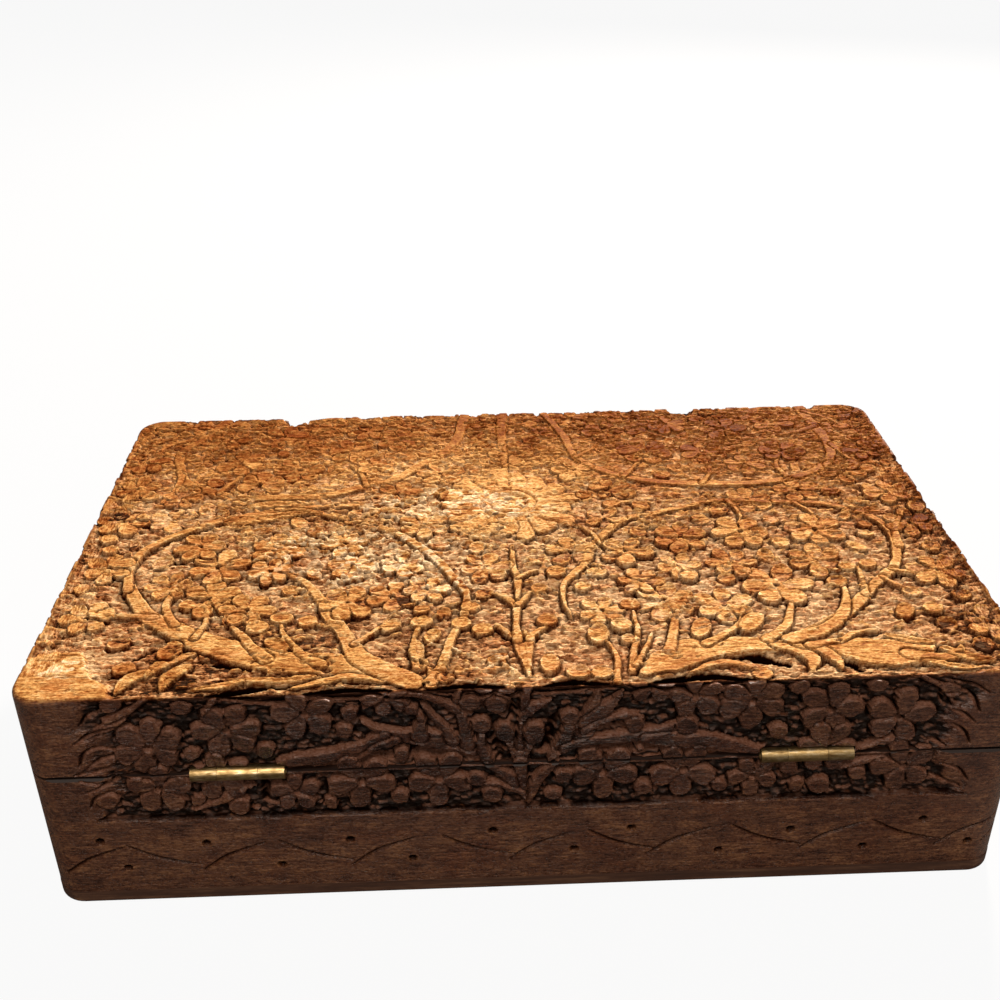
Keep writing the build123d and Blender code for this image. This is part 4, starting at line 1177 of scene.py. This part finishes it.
def carved_sheesham(name, along):
    """Old carved sheesham, once waxed: handled crests bleached to gold and torn along the grain on the
    lid, and near-black wax, dirt and painted shade in the cuts of the sides."""
    finish, tree = new_finish(name)
    noise = figure(tree, along, {"streak": STREAK, "pores": PORES, "torn": (2.6, 0.7, 5.0),
                                 "blotch": (8.0, 6.0, 5.0), "stain": (16, 9.0, 4.0),
                                 "grit": (0.9, 0.5, 3.0)})
    crease_shading_and_dirt, rubbed, ground, tone, dust, flake, ledge_highlight, faded, mottle = (
        add(tree, "ShaderNodeAttribute", attribute_name=n).outputs["Fac"]
        for n in ("crease_shading_and_dirt", "rubbed", "ground", "tone", "dust", "flake", "ledge_highlight", "faded", "mottle"))
    value = weigh(tree, 0.0, ((noise["streak"], 0.24), (noise["blotch"], 0.36),
                              (noise["pores"], 0.24), (noise["torn"], 0.3), (noise["grit"], 0.3)))
    value = add(tree, "ShaderNodeMath", {0: value, 1: mottle, 2: tone},
                operation="MULTIPLY_ADD").outputs[0]
    worn = add(tree, "ShaderNodeMath", {0: rubbed, 1: tone}, operation="MULTIPLY").outputs[0]
    # the ground is speckled where the fibres were torn
    speck = weigh(tree, 0.0, ((noise["grit"], 0.4), (noise["torn"], 0.6)))
    speck = weigh(tree, speck, ((flake, 0.8),), 0)
    for share in (ground, mottle):
        speck = add(tree, "ShaderNodeMath", {0: speck, 1: share}, operation="MULTIPLY").outputs[0]
    value = weigh(tree, value, ((flake, 0.08), (worn, 0.12), (speck, 0.24)), 0)
    bleached, waxed, cut = (add(tree, "ShaderNodeValToRGB", {"Fac": value}, stops=stops).outputs[0]
                            for stops in (BLEACHED, WAXED, CUT_GROUND))
    colour = add(tree, "ShaderNodeMix", {0: faded, 6: waxed, 7: bleached},
                 data_type="RGBA").outputs[2]
    # grey-pink dust lies in the ground, and a redder stain comes and goes over the whole lid
    veil = add(tree, "ShaderNodeMath", {0: dust, 1: noise["torn"]}, operation="MULTIPLY").outputs[0]
    red = weigh(tree, noise["stain"], ((flake, -0.09),), 0)
    red = add(tree, "ShaderNodeMapRange", {"Value": red, "From Min": 0.5, "From Max": 0.68,
                                           "To Max": 0.42}).outputs[0]
    # painted shade and dirt darken the creases, and the deepest are painted black
    shade = add(tree, "ShaderNodeMath", {0: crease_shading_and_dirt, 1: 0.96}, operation="MULTIPLY",
                use_clamp=True).outputs[0]
    shadow_and_dirt = add(tree, "ShaderNodeValToRGB", {"Fac": tone}, stops=CREASE_SHADING_AND_DIRT).outputs[0]
    black_painted_shade = add(tree, "ShaderNodeMath", {0: crease_shading_and_dirt, 1: 4.0, 2: -4.0}, operation="MULTIPLY_ADD",
                use_clamp=True).outputs[0]
    # on the waxed sides a greyish pink highlight is painted on the ledges that face up
    edge = weigh(tree, 0.7, ((faded, -0.7),), 0)
    edge = add(tree, "ShaderNodeMath", {0: ledge_highlight, 1: edge}, operation="MULTIPLY",
               use_clamp=True).outputs[0]
    fine = weigh(tree, 0.5, ((noise["pores"], 0.7), (noise["grit"], 0.7)))
    grain = add(tree, "ShaderNodeValToRGB", {"Fac": fine}, stops=FINE_GRAIN).outputs[0]
    # over the colour: cut ground, dust, stain, painted crease shade and dirt, painted black, the painted
    # ledge highlight and the grain
    for share, over, way in ((ground, cut, "MIX"), (veil, linear("#cfa683"), "MIX"),
                             (red, linear("#cc8a5e"), "MULTIPLY"), (shade, shadow_and_dirt, "MIX"),
                             (black_painted_shade, linear("#120502"), "MIX"), (edge, linear("#8f6755"), "MIX"),
                             (1.0, grain, "MULTIPLY")):
        colour = add(tree, "ShaderNodeMix", {0: share, 6: colour, 7: over}, data_type="RGBA",
                     blend_type=way).outputs[2]
    height = weigh(tree, 0.5, ((noise["torn"], 0.8), (noise["pores"], 0.35), (noise["grit"], 0.5)))
    bump = add(tree, "ShaderNodeBump", {"Height": height, "Strength": 1.0, "Distance": 0.42 * MM})
    # the dark sides keep their wax, the bleached lid is dry
    rough = weigh(tree, 0.18, ((tone, 0.32), (faded, 0.2)), 0)
    rough = weigh(tree, rough, ((noise["torn"], 0.3), (noise["grit"], 0.2)))
    rough = weigh(tree, rough, ((ground, 0.15),), 0)
    # where crease shade and dirt are painted, and on torn ground, the wood does not shine
    gleam = weigh(tree, 0.6, ((shade, -0.5), (faded, -0.58)), 0)
    gleam = add(tree, "ShaderNodeMath", {0: ground, 1: -0.35, 2: gleam}, operation="MULTIPLY_ADD",
                use_clamp=True).outputs[0]
    shader = add(tree, "ShaderNodeBsdfPrincipled", {
        "Base Color": colour, "Roughness": rough, "IOR": 1.4, "Specular IOR Level": gleam,
        "Normal": bump.outputs[0]})
    add(tree, "ShaderNodeOutputMaterial", {"Surface": shader.outputs[0]})
    return finish


def planed_sheesham(name, along, stops, shadow_and_dirt=0.0):
    """Planed sheesham, unfinished inside the box: brown with darker streaks, dull, and with painted
    shade along the outer edge of the rims, where the parting gap is."""
    finish, tree = new_finish(name)
    noise = figure(tree, along, {"streak": STREAK, "pores": PORES, "lines": (60, 0.9, 3.0)})
    value = weigh(tree, 0.5, ((noise["streak"], 0.8), (noise["pores"], 0.45), (noise["lines"], 0.6)))
    colour = add(tree, "ShaderNodeValToRGB", {"Fac": value}, stops=stops).outputs[0]
    # how far outside the box's plain sides a spot is, on the worse of the two; inside is negative
    spot = add(tree, "ShaderNodeTexCoord").outputs["Object"]
    spot = add(tree, "ShaderNodeVectorMath", {0: spot}, operation="ABSOLUTE").outputs[0]
    spot = add(tree, "ShaderNodeVectorMath", {0: spot, 1: (HALF_LENGTH * MM, HALF_DEPTH * MM, 1.0)},
               operation="SUBTRACT").outputs[0]
    spot = add(tree, "ShaderNodeSeparateXYZ", {"Vector": spot})
    outer = add(tree, "ShaderNodeMath", {0: spot.outputs[0], 1: spot.outputs[1]},
                operation="MAXIMUM").outputs[0]
    # near the outer edge the rims are painted near-black, as the shade of the parting gap
    gap_shade = add(tree, "ShaderNodeMapRange", {"Value": outer, "From Min": -5.0 * MM,
                                             "From Max": -1.5 * MM, "To Max": shadow_and_dirt}).outputs[0]
    colour = add(tree, "ShaderNodeMix", {0: gap_shade, 6: colour, 7: linear("#0e0603")},
                 data_type="RGBA").outputs[2]
    bump = add(tree, "ShaderNodeBump", {"Height": noise["pores"], "Strength": 0.35,
                                        "Distance": 0.1 * MM})
    shader = add(tree, "ShaderNodeBsdfPrincipled", {"Base Color": colour, "Roughness": 0.58,
                                                    "Normal": bump.outputs[0], "IOR": 1.45})
    add(tree, "ShaderNodeOutputMaterial", {"Surface": shader.outputs[0]})
    return finish


def aged_brass(name, colours, rough):
    """Yellow brass gone brown in patches, rubbed bright along the knuckles."""
    finish, tree = new_finish(name)
    noise = figure(tree, "x", {"patch": (3.5, 1.6, 5.0), "scratch": (2.5, 0.4, 2.0)})
    value = weigh(tree, 0.5, ((noise["patch"], 0.75), (noise["scratch"], 0.4)))
    colour = add(tree, "ShaderNodeValToRGB", {"Fac": value}, stops=colours).outputs[0]
    bump = add(tree, "ShaderNodeBump", {"Height": value, "Strength": 0.2, "Distance": 0.1 * MM})
    dull = weigh(tree, rough, ((noise["patch"], -0.5),))
    shader = add(tree, "ShaderNodeBsdfPrincipled", {"Base Color": colour, "Roughness": dull,
                                                    "Metallic": 1.0, "Normal": bump.outputs[0]})
    add(tree, "ShaderNodeOutputMaterial", {"Surface": shader.outputs[0]})
    return finish


RIM_GAP_SHADE = 0.92
carved_long = carved_sheesham("carved_sheesham_long", "x")
carved_short = carved_sheesham("carved_sheesham_short", "y")
planed_long = planed_sheesham("planed_sheesham_long", "x", INSIDE_BROWNS, RIM_GAP_SHADE)
planed_short = planed_sheesham("planed_sheesham_short", "y", INSIDE_BROWNS, RIM_GAP_SHADE)
bottom_finish = planed_sheesham("sawn_sheesham_bottom", "x", BOTTOM_BROWNS)
brass = aged_brass("aged_brass", KNUCKLE_GOLDS, 0.36)
screw_brass = aged_brass("dull_brass_screws", SCREW_GOLDS, 0.35)
browned = aged_brass("browned_brass", BROWNED_GOLDS, 0.36)
steel = aged_brass("tarnished_steel_nails", NAIL_GREYS, 0.4)

# ---------------------------------------------------------------- the carved boards
OVER = 1.5  # how far the skin runs past the board's rims and inner faces
LONG_INNER = INNER_DEPTH - OVER
SHORT_INNER = INNER_LENGTH - OVER
HALF_GAP = INNER_DEPTH + OVER  # half the length of a short board's skin
PUSH = 12  # a block's walls first go this far straight in
# a long board's block closes inside the lid, or for the base far beyond the other side, so that
# its walls pass clear of both rims
LID_CLOSE, BASE_CLOSE = 40, -200.0


def long_block(way, bottom, top, of_lid):
    """The carved block of the back or front board: the face, both ends and the lid's edge."""
    length, deep, tall = 2 * HALF_LENGTH, way * (HALF_DEPTH - LONG_INNER), top - bottom
    sheets = [skin_sheet((-HALF_LENGTH, way * HALF_DEPTH, bottom), (length, 0, 0), (0, 0, tall))]
    for end in (-1, 1):
        sheets.append(skin_sheet((end * HALF_LENGTH, way * LONG_INNER, bottom), (0, deep, 0),
                                 (0, 0, tall)))
    if of_lid:
        sheets.append(skin_sheet((-HALF_LENGTH, way * LONG_INNER, top), (length, 0, 0),
                                 (0, deep, 0)))
    return carved_block(sheets, (0, way * (LID_CLOSE if of_lid else BASE_CLOSE), 20))


def short_block(way, bottom, top, of_lid):
    """The carved block of the left or right board, which stands between the long ones."""
    across = (0, 2 * HALF_GAP, 0)
    sheets = [skin_sheet((way * HALF_LENGTH, -HALF_GAP, bottom), across, (0, 0, top - bottom))]
    if of_lid:
        sheets.append(skin_sheet((way * SHORT_INNER, -HALF_GAP, top), across,
                                 (way * (HALF_LENGTH - SHORT_INNER), 0, 0)))
    return carved_block(sheets, (way * 60, 0, 10), (-PUSH * way, 0, -PUSH if of_lid else 0))


for sides, block_of, planed, carved in (
        ((("back", 1), ("front", -1)), long_block, planed_long, carved_long),
        ((("left", -1), ("right", 1)), short_block, planed_short, carved_short)):
    for body in ("lid", "base"):
        for side, way in sides:
            node = "%s_%s_board" % (body, side)
            low, high = (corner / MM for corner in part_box(node))
            top = TOP if body == "lid" else high.z + OVER
            block = block_of(way, low.z - OVER, top, body == "lid")
            piece = cut_board(node, "carved_" + node, block, planed, carved)
            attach(piece, body)
            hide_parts(node)

# the lid's panel, in five staves glued edge to edge
panel_low, panel_high = (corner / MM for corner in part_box("lid_panel"))
half = panel_high.y + 1
joins = np.linspace(panel_low.x - 1, panel_high.x + 1, 6)
for name, left, right in zip(("left", "mid_left", "middle", "mid_right", "right"), joins, joins[1:]):
    sheet = skin_sheet((left, -half, TOP), (right - left, 0, 0), (0, 2 * half, 0), PANEL_STEP)
    block = carved_block([sheet], ((left + right) / 2, 0, 40), (0, 0, -PUSH))
    piece = cut_board("lid_panel", "carved_panel_%s_stave" % name, block, planed_long, carved_long)
    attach(piece, "lid")
    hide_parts("lid_panel")

for node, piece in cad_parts.items():
    finish = {"aged_brass": brass, "brass_screws": screw_brass, "steel_nails": steel,
              "plain_rosewood": bottom_finish}.get(piece.data.materials[0].name.split(".")[0])
    if node.endswith("hinge_base_leaf"):
        finish = browned
    if finish:
        piece.material_slots[0].material = finish

# ---------------------------------------------------------------- camera, light and floor
CAMERA_PLACE = (13.8, 309.5, 252.7)
YAW, PITCH, ROLL = (math.radians(a) for a in (1.73, 29.66, -0.71))
LENS = 43.53

camera = bpy.data.objects.new("camera", bpy.data.cameras.new("camera"))
bpy.context.scene.collection.objects.link(camera)
camera.data.lens, camera.data.sensor_width = LENS, 36.0
camera.data.clip_start = 0.01
forward = Vector((-math.sin(YAW) * math.cos(PITCH), -math.cos(YAW) * math.cos(PITCH),
                  -math.sin(PITCH)))
right = Vector((-math.cos(YAW), math.sin(YAW), 0))
up = right.cross(forward)
level_right = right * math.cos(ROLL) + up * math.sin(ROLL)
level_up = up * math.cos(ROLL) - right * math.sin(ROLL)
turn = Matrix((level_right, level_up, -forward)).transposed().to_4x4()
turn.translation = Vector(CAMERA_PLACE) * MM
camera.matrix_world = turn
bpy.context.scene.camera = camera


LIT_SPOT = Vector((0, 0, 0.04))


def lamp(name, place, size, power, colour):
    """A round lamp that points at the middle of the box."""
    light = bpy.data.lights.new(name, "AREA")
    light.shape, light.size, light.energy = "DISK", size, power
    light.color = linear(colour)[:3]
    stand = bpy.data.objects.new(name, light)
    bpy.context.scene.collection.objects.link(stand)
    stand.location = place
    stand.rotation_euler = (LIT_SPOT - Vector(place)).to_track_quat("-Z", "Y").to_euler()


lamp("key_light", (-0.42, -0.95, 0.64), 0.16, 40, "#fff2e4")
lamp("ceiling_light", (0.03, 0.6, 1.05), 0.36, 7.6, "#fff2e4")
lamp("window_light", (0.12, 1.6, 0.9), 0.32, 6.4, "#fff4e8")

# the room is dim, and the camera sees it white
world = bpy.data.worlds.new("studio")
bpy.context.scene.world = world
world.use_nodes = True
tree = world.node_tree
tree.nodes.clear()
ray = add(tree, "ShaderNodeLightPath")
seen = add(tree, "ShaderNodeMath", {0: ray.outputs["Is Camera Ray"],
                                    1: ray.outputs["Is Transmission Ray"]},
           operation="MAXIMUM").outputs[0]
room = add(tree, "ShaderNodeBackground", {"Color": linear("#fff4ea"), "Strength": 0.12})
white = add(tree, "ShaderNodeBackground", {"Color": (1, 1, 1, 1), "Strength": 1.0})
both = add(tree, "ShaderNodeMixShader", {0: seen, 1: room.outputs[0], 2: white.outputs[0]})
add(tree, "ShaderNodeOutputWorld", {"Surface": both.outputs[0]})

deselect()
bpy.ops.mesh.primitive_plane_add(size=6.0, location=(0, 0, 0))
floor = bpy.context.object
floor.name = "floor"
floor_finish, tree = new_finish("white_paper_floor")
ray = add(tree, "ShaderNodeLightPath")
paper = add(tree, "ShaderNodeBsdfDiffuse", {"Color": linear("#b4b2b0")})
glow = add(tree, "ShaderNodeEmission", {"Color": (1, 1, 1, 1), "Strength": 1.0})
seen = add(tree, "ShaderNodeMath", {0: ray.outputs["Is Camera Ray"], 1: 0.93},
           operation="MULTIPLY").outputs[0]
# the polish mirrors the dark room beyond the paper more than the paper
dark = add(tree, "ShaderNodeEmission", {"Color": (0, 0, 0, 1), "Strength": 0.0})
hidden = add(tree, "ShaderNodeMath", {0: ray.outputs["Is Glossy Ray"], 1: 0.75},
             operation="MULTIPLY").outputs[0]
paper = add(tree, "ShaderNodeMixShader", {0: hidden, 1: paper.outputs[0], 2: dark.outputs[0]})
blend = add(tree, "ShaderNodeMixShader", {0: seen, 1: paper.outputs[0], 2: glow.outputs[0]})
add(tree, "ShaderNodeOutputMaterial", {"Surface": blend.outputs[0]})
floor.data.materials.append(floor_finish)

bpy.context.scene.view_settings.view_transform = "Standard"
